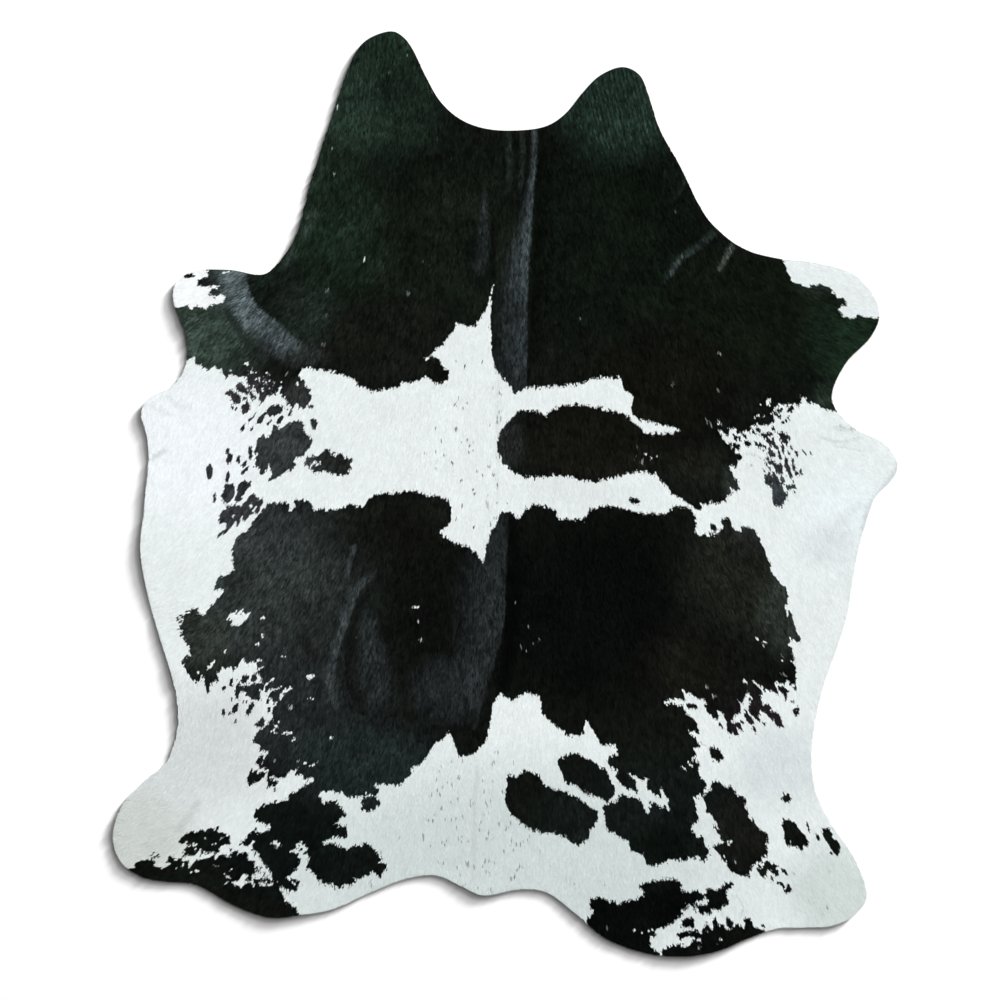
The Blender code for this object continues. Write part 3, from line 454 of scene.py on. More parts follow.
DABS = dabs(Tone.BLACK, (
    # left foreleg and shoulder
    (189, 276, 13, 3.6, 0), (240.5, 388, 12.5, 7.5, 50), (248.5, 393, 9, 4.2, 35), (253.5, 397, 7, 4.2, 50),
    (250, 388.5, 9, 1.5, 0), (230.5, 393, 8.5, 5.2, 10), (236, 398.5, 12, 9, 60), (232.5, 407, 5, 2, 60),
    (236, 409.5, 4, 1.6, 110), (246, 399.3, 5, 2.8, 20), (245.8, 408, 12, 7.2, 115),
    (274.5, 411, 17, 10.5, -20), (260.7, 419.5, 10.5, 5.6, 125), (264, 415.5, 5, 2.4, 130),
    (250.3, 420, 6, 3, 130), (280.5, 420, 11, 4.8, 130), (269.4, 422.5, 5, 2.2, 135),
    (289.8, 413, 5.5, 3.2, 110), (286.5, 407.6, 5, 1.5, 0), (311, 407, 6, 3.6, 0),
    (314.3, 423.5, 10.5, 6.6, 80), (250.3, 453, 13, 4.2, 85), (243, 428.5, 7.6, 3.6, 110),
    (251.6, 429.5, 4.4, 2.2, 130), (228, 451, 5, 4, 90), (229.5, 459, 10, 6.2, 100),
    (238.7, 459.5, 6.4, 3, 90), (244, 464.2, 6.4, 4.4, 110), (245, 470.5, 7.6, 3.4, 135),
    (209.7, 472, 14, 6.4, 95), (227.2, 477.4, 9.4, 4, 95), (229, 494, 20, 10.5, 110), (226, 488, 8, 4, 110),
    (242.5, 488, 16, 9.5, 115), (249, 485, 9, 2.2, 110), (238.5, 498, 8, 6, 110), (222, 496, 4, 3, 90),
    (214.4, 498.4, 11.4, 2.8, 88), (226, 531, 9, 2.8, 130), (220, 535, 8, 2.4, 125),
    # left haunch
    (179.4, 620, 7, 2.2, 70), (181.5, 616, 5, 2.2, 70), (231, 682.5, 8.5, 3.8, 108),
    (223.8, 688.4, 4.4, 3.6, 90), (245, 678.7, 9, 7.6, 100), (254, 677.5, 9, 5.6, 110),
    (237.5, 691, 14.5, 5, 97), (241.5, 688.5, 7, 5, 30), (256, 697.4, 12, 5.6, 10), (251.6, 706, 7, 5, 120),
    (249, 711, 9, 5, 115), (235.2, 708, 10, 5.6, 120), (223.6, 712.6, 5.8, 4.8, 90),
    (267.3, 690.6, 4, 3, 90), (268.3, 702, 4.5, 3.4, 90), (269, 710.5, 4, 3, 90),
    (262, 722, 11.5, 6.2, 105), (257.2, 724.3, 5, 3.6, 90), (256, 737, 10, 3, 125),
    (487, 504, 10, 3, 70, 0.35),
    # left leg and rump
    (232.4, 848.9, 3.5, 2.5, 30), (153.9, 852.9, 3.5, 1.5, -60), (253.4, 855, 5, 1.2, 0),
    (259.5, 867.2, 6, 1.3, 10), (265.3, 875.8, 5.5, 2, -10), (264, 872, 3.5, 1.1, 0),
    (266.5, 883.8, 4, 1.1, 10), (300.3, 846.6, 5, 1.3, 20), (300, 849.2, 8, 1.2, 5),
    (305, 852.9, 2.5, 2, 45), (334.5, 886.6, 4.5, 1.3, 45), (341.3, 887.1, 6, 2, 15),
    (370.8, 881.3, 4, 3, 0, 0.3), (371.8, 886.1, 3, 1.2, 0, 0.4), (380.8, 852.4, 2.5, 1.5, 0, 0.4),
    (398.7, 837.6, 2.2, 1.5, 0, 0.4), (287.6, 892.9, 4, 1.2, 0, 0.5),
    # right shoulder cluster
    (790, 409.6, 8, 4.4, -25), (787.8, 419.4, 6, 2.5, -35), (778.4, 415.8, 5, 3, -30),
    (774.8, 421.6, 3.5, 2, 10), (782.4, 422.3, 4, 2.8, 30), (779.3, 410.4, 9, 3, -12),
    (774.8, 413.6, 3.5, 2, 30), (773, 428.8, 5.5, 3, 60), (758.3, 430.1, 5.5, 4.5, 30),
    (753.4, 432.3, 5.5, 3.5, 50), (757.9, 435.9, 4, 1.2, 45), (769.5, 434.6, 7, 3.5, 10),
    (764.1, 435.9, 8, 4, 45), (768.6, 441.7, 9, 4, 55), (772.6, 439.5, 4, 1.5, 100),
    (774.8, 445.3, 12, 4, 50), (782.9, 449.3, 9, 2.8, 80), (791.3, 447.6, 4, 1.7, 50),
    (788.7, 452.9, 3.5, 3, 40), (795.8, 452.9, 6, 3, 70), (804.7, 453.3, 4.5, 2, 60),
    (810.7, 452.7, 3.5, 2, 50), (744.5, 435.9, 6, 3.5, 70), (735.5, 438.1, 5.5, 4, 30),
    (740, 439, 5.5, 3, 80), (747.1, 443.9, 8.5, 4.5, 20), (757.9, 444.4, 7.5, 5, 35),
    (764.1, 446.6, 5, 3.5, 60), (763.2, 450.2, 2, 1.3, 60), (733.8, 449.6, 4.5, 1.8, 60),
    (769.5, 449.3, 4, 3, 50), (771.3, 453.6, 9.5, 6, 40), (779.3, 455.5, 10, 3.2, 80),
    (767.7, 458.2, 4.5, 2.5, 100), (765.4, 463.6, 9, 3, 60), (763.7, 470.3, 7, 1.8, 45),
    (769.9, 468.5, 4, 2, 75), (792.7, 460.9, 6, 3, 85), (793.1, 467.6, 4.5, 2.2, 65),
    (796.7, 472.9, 6, 3.5, 40), (800.3, 472.5, 4, 2.2, 80), (782.4, 479.6, 8, 3.5, 75),
    (769, 474.3, 4, 2.4, 100),
    # right side and thigh
    (635, 501, 11, 5.2, 0), (713.5, 527.5, 7, 6, 30), (783, 690, 12, 6, 30), (794.6, 687.9, 4.5, 4, 60),
    (785.2, 696.5, 6, 3.5, 60), (792.3, 701, 5, 1.8, 5), (763.9, 724, 2.4, 1.6, 0),
    (758.4, 718.8, 4.5, 2.5, 55), (745.9, 710.8, 5.5, 2.2, 60), (749.3, 719, 14, 6, 52),
    (753.8, 729, 9, 1.6, 68), (742.3, 722.4, 5, 2, 45), (738.3, 726, 9.5, 5, 45),
    (720.9, 725.1, 5.5, 3, 55), (691.9, 706.3, 11, 5, 8),
    # right leg
    (767, 846.5, 3, 2.2, 0), (783.2, 792.9, 3.5, 2, 55), (786.8, 798.5, 10, 6.5, 110),
    (783, 799, 4, 2.6, 0), (806.3, 824.2, 5, 2.6, 65), (808.5, 829.3, 6, 1.2, 65), (818, 837.1, 9, 3, 62),
    (830.8, 852.8, 4.5, 2.5, 70), (759.1, 865.7, 3, 1.5, 30), (772.1, 878.7, 6, 3, 60),
    (781.3, 869.3, 5, 1.8, 65), (785, 871.1, 8.5, 3, 58), (780, 883, 7, 3, 20), (783, 886, 5, 2.2, 65),
    (789, 888, 8, 4.6, 70), (786.5, 891, 5.5, 3, 0), (829.2, 872, 4.5, 4, 0, 0.14),
    (779.6, 812.1, 3, 1.6, 0, 0.15), (822, 914, 4, 3, 0, 0.12), (747.4, 807.6, 1.6, 1.2, 0, 0.5),
    (751.6, 465.4, 2, 1.4, 0, 0.5), (793, 873, 2.4, 1.6, 0, 0.5), (827, 907, 2.2, 1.6, 0, 0.5),
    # rump edge
    (714.2, 921.6, 6, 5.4, 0), (695.3, 911.6, 5, 1.6, -20), (763.2, 925.8, 4, 2, 0),
    (602.6, 878.9, 2, 1.5, 0, 0.5), (604.7, 883.7, 2, 1.8, 0, 0.35), (705.3, 744.6, 9, 1, 13, 0.35),
)) + dabs(Tone.WHITE, (
    # left foreleg and shoulder
    (246.4, 363.7, 6, 5, 100), (250.5, 372, 5.5, 1.8, 30), (255, 371.8, 5, 1.6, 15),
    (252.5, 368.5, 6, 1.2, -45, 0.6), (268.4, 373.8, 6.5, 1.6, 15), (231, 370.5, 2, 1.8, 0, 0.7),
    (259.5, 380.5, 8, 2, 65), (265.6, 383, 5.5, 1.8, 60), (272.2, 381.8, 9, 1.4, 35),
    (281.6, 383, 5, 2, 45), (280, 388.5, 7, 2.4, 110), (262.7, 390, 4.6, 3.6, 0), (274, 392.5, 6, 1.4, 10),
    (297.4, 384, 4.4, 3, 90), (303, 369.3, 2, 1.5, 0), (286, 374, 2.5, 2, 0, 0.3), (226, 272, 6, 2.6, 0),
    (254.5, 449, 8, 1.8, 125), (256, 456, 8, 1.8, 125), (319, 464, 5, 4, 0), (314.7, 463, 4, 2.4, 0),
    (311.6, 464, 4, 3, 0), (251, 506, 4, 2.8, 125), (254.7, 509, 6, 1.6, 125), (233.7, 516, 6, 1.6, 125),
    (242, 518, 6, 1.6, 125),
    # left haunch
    (198, 672.5, 3.2, 3.2, 0), (211, 665, 11, 3.6, 130), (259, 660, 6, 3.6, 0), (260.5, 668.5, 7, 2, 155),
    (270, 682, 17, 2.2, 140), (273, 689.5, 18, 2, 158), (289, 689.3, 9, 2.8, 148), (285.3, 691, 6, 4, 0),
    (281.3, 695.8, 9, 3, 105), (274.4, 704.8, 7.5, 2.4, 140), (276, 726, 6, 2, 30),
    (274.6, 731.6, 7, 2, 50), (286.5, 733, 12.5, 2.4, -5), (293.8, 739.6, 5.5, 2.2, 132),
    (298.9, 727.7, 3, 1.5, 140, 0.35), (331.5, 738, 6, 2.4, 130), (262.5, 618, 7, 2, -15),
    (262.3, 636, 5, 2, 120), (257.3, 643.7, 5, 3, 0), (225.7, 651, 5, 2, 135), (283.4, 656.5, 5.6, 2.4, 35),
    (310.4, 676.4, 9.5, 4.4, -12), (311.5, 698.6, 8, 2, 12), (291, 707, 5, 2.4, 0, 0.5),
    (304.5, 763.4, 3, 1.4, 0), (312, 765, 8, 2, -15), (317.5, 762.5, 4, 1.6, -60),
    (262.9, 762.9, 5, 1, 110, 0.5), (366, 793, 3.5, 1.2, -20), (415.4, 607, 8, 2, 0),
    (419.3, 621.2, 2.2, 2, 0, 0.6), (420.7, 639.2, 3, 1.6, 0, 0.7), (516, 602.7, 1.8, 1.6, 0, 0.4),
    # specks in the dark hair
    (645.5, 454, 3.4, 2, -20), (651.5, 458.5, 2.4, 1.8, 0), (657, 456, 2.2, 1.8, 0),
    (642, 462, 2, 2, 0, 0.4), (648.5, 461.5, 2, 2, 0, 0.3), (718.6, 353.3, 6, 3, -5, 0.2),
    (797, 380, 2.2, 2.2, 0, 0.7), (672.5, 385, 3, 4, 0, 0.08), (718.6, 390.5, 4, 1.8, -5, 0.12),
    (581, 318, 2.2, 2.2, 0, 0.3), (365, 260.3, 2.4, 2, 0, 0.6), (408.6, 293.2, 5, 4, 0, 0.18),
    (422.5, 261.5, 4, 2, 0, 0.1), (323.5, 344.5, 4, 4, 0, 0.08), (327, 314, 2, 2.5, 0, 0.12),
    (326, 290.5, 4, 2, 0, 0.09), (243, 345.5, 3, 3, 0, 0.1), (407, 55, 2.2, 2, 0, 0.3),
    (409, 70, 2.2, 2, 0, 0.3), (338, 109, 2.4, 2, 0, 0.3), (332, 148.5, 2.4, 2, 0, 0.3),
    (334, 174, 2.4, 2, 0, 0.3),
    # left leg and rump
    (195.3, 849, 3, 1.4, 110), (203.9, 838.4, 4.5, 1.8, 0), (213.9, 843.9, 5, 1.2, -20),
    (221.8, 837.6, 2.4, 1.5, -60, 0.6), (175.5, 868.2, 5, 1.5, -30), (182.4, 864.5, 4, 1.6, 100),
    (214.5, 865, 1.8, 1.2, 0), (218.5, 866.1, 2.5, 1.8, 0), (196.6, 870.8, 5, 2.4, 0),
    (191.3, 872.4, 2, 1.2, 0), (231.3, 869.2, 3.5, 1.2, -50), (228, 876.8, 7, 2.2, 20),
    (225.5, 873.9, 2, 1.2, 0), (227.3, 882.7, 8, 1.3, -30), (287.6, 878.2, 8, 1.5, 35),
    (294.5, 883.7, 5, 2.6, 45), (281.3, 846.1, 2.5, 2, 0, 0.2),
    # right shoulder cluster
    (760.5, 404.2, 1.8, 1.3, 0), (768.6, 405.1, 5, 1.6, -10), (758.3, 414.5, 2.5, 1.8, 0),
    (755.6, 417.1, 4, 1.4, -25), (763.2, 415.4, 2, 1.1, 0), (772.1, 413.6, 4.5, 1.8, -45),
    (718.6, 422.9, 2.8, 2.4, 0), (721.3, 424.3, 3, 1.4, 0, 0.4), (758.3, 443.2, 2.5, 1.3, 60),
    (772.6, 484.6, 3, 1.5, 80),
    # right side and thigh
    (757.1, 638.9, 4.5, 2, 65), (765.1, 642.5, 5, 2, 30), (762.9, 644.7, 4, 1.2, 45, 0.4),
    (781.4, 661.1, 2, 1.8, 0), (782.1, 656.3, 3, 1.3, 45, 0.3), (745, 681.3, 7, 2.4, 50),
    (756.6, 684.6, 16, 1.9, 47), (762.9, 687.1, 5, 1.4, 55), (679.4, 682.5, 2.5, 1.4, 0, 0.6),
    (707.1, 687.1, 3, 1.5, 0, 0.25), (714.2, 696.5, 5, 2, 0, 0.4), (734.7, 706.3, 2.6, 2, 90, 0.9),
    (690, 764.5, 8.5, 2, 43), (683.7, 768.2, 8, 2, 40), (626.8, 802.9, 2.5, 1.8, 90, 0.6),
    (727.9, 844.5, 5, 2.4, 100), (730.5, 841.8, 3, 1.5, -20), (718.4, 835, 2.5, 1.5, 0, 0.5),
    (723.7, 855.5, 4, 1.2, 50), (735.3, 862.9, 3, 1.8, 90, 0.35),
    # right leg
    (783.8, 674.6, 8, 1.5, 20, 0.25), (275, 761.3, 3, 2, 0, 0.5), (297.6, 760.3, 3, 1.4, 0, 0.5),
    # rump edge
    (634.7, 930.8, 4.5, 1.6, 0), (641.6, 932.1, 2.2, 1.4, 0), (648.4, 930.5, 2.2, 1.4, 0),
    (607.9, 927.4, 3, 2, 0, 0.2), (720, 938.4, 3.5, 2.6, 0), (716.3, 943.2, 2, 1.5, 0),
    (707.4, 931.6, 2, 1.5, 0, 0.8), (697.9, 946.5, 2.6, 1.3, 0, 0.5), (743.5, 926, 4, 1.2, 40),
))

SCATTERS = (
    Scatter("left_shoulder_hairs", Tone.BLACK, (262, 400), (26, 18), 12, (2.0, 4.0), (0.9, 1.4)),
    Scatter("left_shoulder_gaps", Tone.WHITE, (268, 384), (16, 7), 8, (2.0, 4.0), (0.9, 1.3)),
    Scatter("left_haunch_hairs", Tone.BLACK, (246, 702), (20, 28), 14, (2.0, 4.0), (0.9, 1.5)),
    Scatter("left_haunch_gaps", Tone.WHITE, (268, 712), (12, 30), 10, (2.0, 4.5), (0.9, 1.4)),
    Scatter("right_shoulder_gaps", Tone.WHITE, (712, 426), (9, 9), 8, (1.5, 3.0), (0.9, 1.4), 0.3),
    Scatter("right_saddle_flecks", Tone.WHITE, (706, 528), (12, 10), 5, (1.5, 3.0), (0.8, 1.3)),
    Scatter("neck_grey_hairs", Tone.WHITE, (390, 200), (90, 150), 16, (1.4, 2.0), (0.9, 1.3), 0.04),
    Scatter("right_neck_grey_hairs", Tone.WHITE, (640, 260), (110, 150), 8, (1.4, 2.0), (0.9, 1.3), 0.05),
    Scatter("saddle_grey_hairs", Tone.WHITE, (300, 650), (70, 70), 10, (1.4, 2.0), (0.9, 1.3), 0.1),
    Scatter("middle_grey_hairs", Tone.WHITE, (650, 450), (24, 14), 7, (1.4, 2.0), (0.9, 1.3), 0.08),
    Scatter("spine_flecks_front", Tone.BLACK, (476, 440), (52, 92), 64, (1.6, 2.6), (1.2, 1.7), 0.75),
    Scatter("croup_grey_hairs", Tone.WHITE, (528, 646), (14, 22), 10, (1.4, 2.4), (0.9, 1.3), 0.25),
    Scatter("spine_flecks_rear", Tone.BLACK, (476, 822), (56, 80), 190, (1.8, 3.4), (1.2, 1.6), 0.5),
    Scatter("right_rump_flecks", Tone.BLACK, (620, 850), (90, 50), 8, (1.6, 2.6), (1.0, 1.4), 0.3),
    Scatter("right_elbow_flecks", Tone.BLACK, (846, 428), (9, 4), 14, (1.4, 2.2), (1.1, 1.5), 0.35),
    Scatter("spine_line_flecks", Tone.BLACK, (497, 450), (8, 80), 24, (1.8, 3.4), (1.1, 1.6), 0.5),
)

ARROWS = tuple(Arrow(*row) for row in (
    (390, 60, -0.08, 1), (500, 150, 0.0, 1), (620, 90, 0.12, 1), (370, 180, -0.12, 1), (330, 240, -0.35, 1),
    (500, 300, 0.0, 1), (640, 180, 0.16, 1), (700, 250, 0.4, 1), (280, 320, -0.7, 1), (210, 300, -1, 0.45),
    (210, 350, -0.8, 1), (260, 385, -0.6, 1), (330, 400, -0.35, 1), (420, 400, -0.12, 1),
    (500, 430, 0.0, 1), (600, 420, 0.12, 1), (680, 350, 0.3, 1), (760, 320, 0.7, 1), (840, 310, 1, 0.5),
    (760, 440, 0.35, 1), (860, 450, 0.9, 0.7), (250, 450, -0.55, 1), (210, 470, -0.2, 1),
    (160, 450, -0.4, 1), (300, 440, -0.45, 1), (230, 515, -0.8, 1), (190, 540, -0.8, 0.9),
    (300, 520, -0.4, 1), (380, 500, -0.2, 1), (600, 520, 0.1, 1), (700, 520, 0.35, 1), (790, 480, 0.3, 1),
    (840, 560, 0.5, 1), (180, 620, -1, 0.35), (240, 600, -0.6, 1), (208, 685, -0.05, 1),
    (250, 690, -0.3, 1), (330, 620, -0.28, 1), (320, 740, -0.3, 1), (420, 660, -0.1, 1), (500, 600, 0.0, 1),
    (500, 720, 0.0, 1), (600, 640, 0.14, 1), (720, 620, 0.4, 1), (790, 640, 0.45, 1), (770, 720, 0.4, 1),
    (660, 740, 0.2, 1), (150, 830, -1, 0.45), (220, 840, -0.8, 0.8), (270, 800, -0.5, 1),
    (300, 870, -0.45, 1), (370, 860, -0.2, 1), (476, 830, 0.0, 1), (560, 830, 0.08, 1), (640, 900, 0.2, 1),
    (700, 830, 0.3, 1), (795, 835, 0.5, 1), (850, 885, 0.75, 1), (740, 920, 0.3, 1),
))

TINTS = {
    Tone.BLACK: (
        Tint("right_saddle_deep", (590, 610), (170, 150), (0.001, 0.0016, 0.0012)),
        Tint("rump_deep", (640, 920), (140, 60), (0.0006, 0.0014, 0.0012)),
        Tint("left_rump_dark", (290, 850), (110, 70), (0.002, 0.0042, 0.0034)),
        Tint("neck_deep", (620, 240), (110, 150), (0.0026, 0.0058, 0.003), 0.9),
        Tint("neck_middle", (440, 250), (120, 130), (0.005, 0.0085, 0.005), 0.9),
        Tint("left_ear_green", (385, 80), (80, 110), (0.0095, 0.02, 0.013)),
        Tint("ear_base_haze", (350, 112), (44, 64), (0.015, 0.03, 0.021), 0.9),
        Tint("right_ear_green", (618, 100), (85, 80), (0.0115, 0.0245, 0.018)),
        Tint("left_neck_green", (325, 225), (85, 100), (0.0076, 0.0168, 0.0095), 0.9),
        Tint("left_shoulder_dark", (400, 340), (120, 60), (0.005, 0.0062, 0.0042), 0.8),
        Tint("right_shoulder_green", (760, 310), (110, 90), (0.0038, 0.0074, 0.003), 0.9),
        Tint("right_foreleg_green", (850, 345), (60, 70), (0.0065, 0.017, 0.0085), 0.9),
        Tint("right_foreleg_top", (818, 278), (30, 26), (0.014, 0.022, 0.0155), 0.9),
        Tint("right_elbow_green", (830, 397), (24, 24), (0.013, 0.021, 0.0145), 0.9),
        Tint("neck_left_edge", (312, 165), (24, 40), (0.015, 0.029, 0.0185), 0.8),
        Tint("shoulder_hollow_green", (262, 274), (26, 22), (0.0115, 0.02, 0.014), 0.8),
        Tint("centre_brown", (660, 390), (120, 90), (0.0034, 0.0036, 0.002), 0.9),
        Tint("middle_patch", (590, 445), (110, 60), (0.005, 0.0052, 0.0034), 0.9),
        # painted sheen on the left foreleg and the shoulder's fold
        Tint("left_foreleg_haze", (210, 335), (70, 60), (0.033, 0.052, 0.042)),
        Tint("shoulder_foot", (303, 312), (42, 46), (0.013, 0.0205, 0.0155), 0.8),
        Tint("leg_hollow_foot", (252, 352), (26, 19), (0.0125, 0.0195, 0.016), 0.8),
        Tint("shoulder_light_foot", (302, 356), (34, 16), (0.02, 0.024, 0.0225), 0.8),
        Tint("left_saddle_grey", (268, 580), (130, 120), (0.0215, 0.0285, 0.0265)),
        Tint("left_saddle_lower", (300, 700), (120, 90), (0.015, 0.0192, 0.019), 0.9),
        Tint("left_saddle_rear", (365, 765), (110, 60), (0.0092, 0.015, 0.015)),
        Tint("saddle_crown", (400, 530), (90, 50), (0.004, 0.0046, 0.0032), 0.9),
        # painted shade in the hollow of the left haunch
        Tint("haunch_hollow", (424, 618), (42, 62), (0.0026, 0.0032, 0.0026), 0.95),
        # painted sheen on the right haunch, strongest on its crown and edge
        Tint("right_haunch_grey", (740, 580), (80, 80), (0.0094, 0.0114, 0.0078), 0.9),
        Tint("right_haunch_crown", (752, 535), (30, 28), (0.018, 0.021, 0.0185), 0.9),
        Tint("right_haunch_edge", (784, 612), (34, 60), (0.024, 0.03, 0.025)),
        Tint("saddle_corner", (276, 536), (46, 36), (0.032, 0.039, 0.039), 0.9),
        Tint("haunch_lobe", (203, 640), (42, 46), (0.0215, 0.027, 0.0225), 0.9),
        Tint("croup_foot", (446, 690), (46, 44), (0.015, 0.0195, 0.021), 0.8),
        Tint("middle_patch_left", (506, 443), (26, 34), (0.015, 0.018, 0.0165), 0.9),
        Tint("middle_patch_right", (700, 462), (36, 30), (0.007, 0.0078, 0.005), 0.9),
        Tint("right_thigh_brown", (690, 670), (70, 60), (0.0058, 0.0056, 0.004), 0.8),
        Tint("rump_spots_grey", (640, 820), (160, 80), (0.004, 0.007, 0.0058), 0.9),
        Tint("rump_low_dark", (655, 845), (48, 30), (0.0014, 0.0034, 0.0022), 0.9),
        Tint("right_rump_brown", (740, 830), (40, 50), (0.0075, 0.0082, 0.0066), 0.8),
        Tint("shoulder_spot_grey", (282, 450), (60, 60), (0.03, 0.035, 0.036)),
        Tint("flank_speckles_grey", (230, 512), (56, 52), (0.033, 0.035, 0.039)),
        Tint("flank_spots_grey", (218, 446), (38, 48), (0.036, 0.035, 0.04)),
        Tint("shoulder_specks_charcoal", (238, 398), (50, 34), (0.033, 0.031, 0.036)),
        Tint("shoulder_point_grey", (301, 398), (24, 24), (0.025, 0.027, 0.027), 0.9),
        Tint("shoulder_island_grey", (342, 465), (28, 18), (0.018, 0.021, 0.019), 0.9),
        Tint("shoulder_cluster_grey", (782, 468), (44, 54), (0.034, 0.032, 0.036)),
        Tint("middle_patch_edge", (733, 482), (16, 24), (0.02, 0.028, 0.023), 0.8),
        # grey-blue, with a painted pale sheen
        Tint("long_spot_grey", (780, 496), (26, 30), (0.037, 0.048, 0.053)),
        Tint("thigh_spots_brown", (762, 716), (60, 44), (0.0105, 0.0085, 0.009), 0.9),
    ),
    # white hair: painted light on the left shoulder and foreleg, painted shade further down and in the hip's
    # dent
    Tone.WHITE: (
        Tint("left_shoulder_bright", (190, 450), (110, 110), (0.868, 0.91, 0.932)),
        Tint("left_foreleg_bright", (190, 292), (60, 40), (0.915, 0.935, 0.95)),
        # the hind legs take a cream tone and painted shade; the right belly a blue tone
        Tint("left_leg_cream", (140, 830), (80, 70), (0.61, 0.65, 0.62)),
        Tint("left_flank_dull", (200, 750), (110, 90), (0.65, 0.69, 0.69), 0.9),
        Tint("rump_dull", (500, 870), (330, 150), (0.62, 0.69, 0.68), 0.95),
        Tint("right_leg_cream", (840, 890), (80, 70), (0.65, 0.718, 0.7)),
        Tint("right_rump_dull", (780, 765), (70, 60), (0.69, 0.736, 0.748), 0.9),
        Tint("right_bar_dull", (580, 492), (90, 26), (0.74, 0.79, 0.782), 0.9),
        Tint("right_belly_blue", (845, 520), (70, 80), (0.8, 0.87, 0.89), 0.7),
        Tint("right_hip_dent", (830, 545), (40, 34), (0.74, 0.78, 0.79), 0.7),
    ),
}

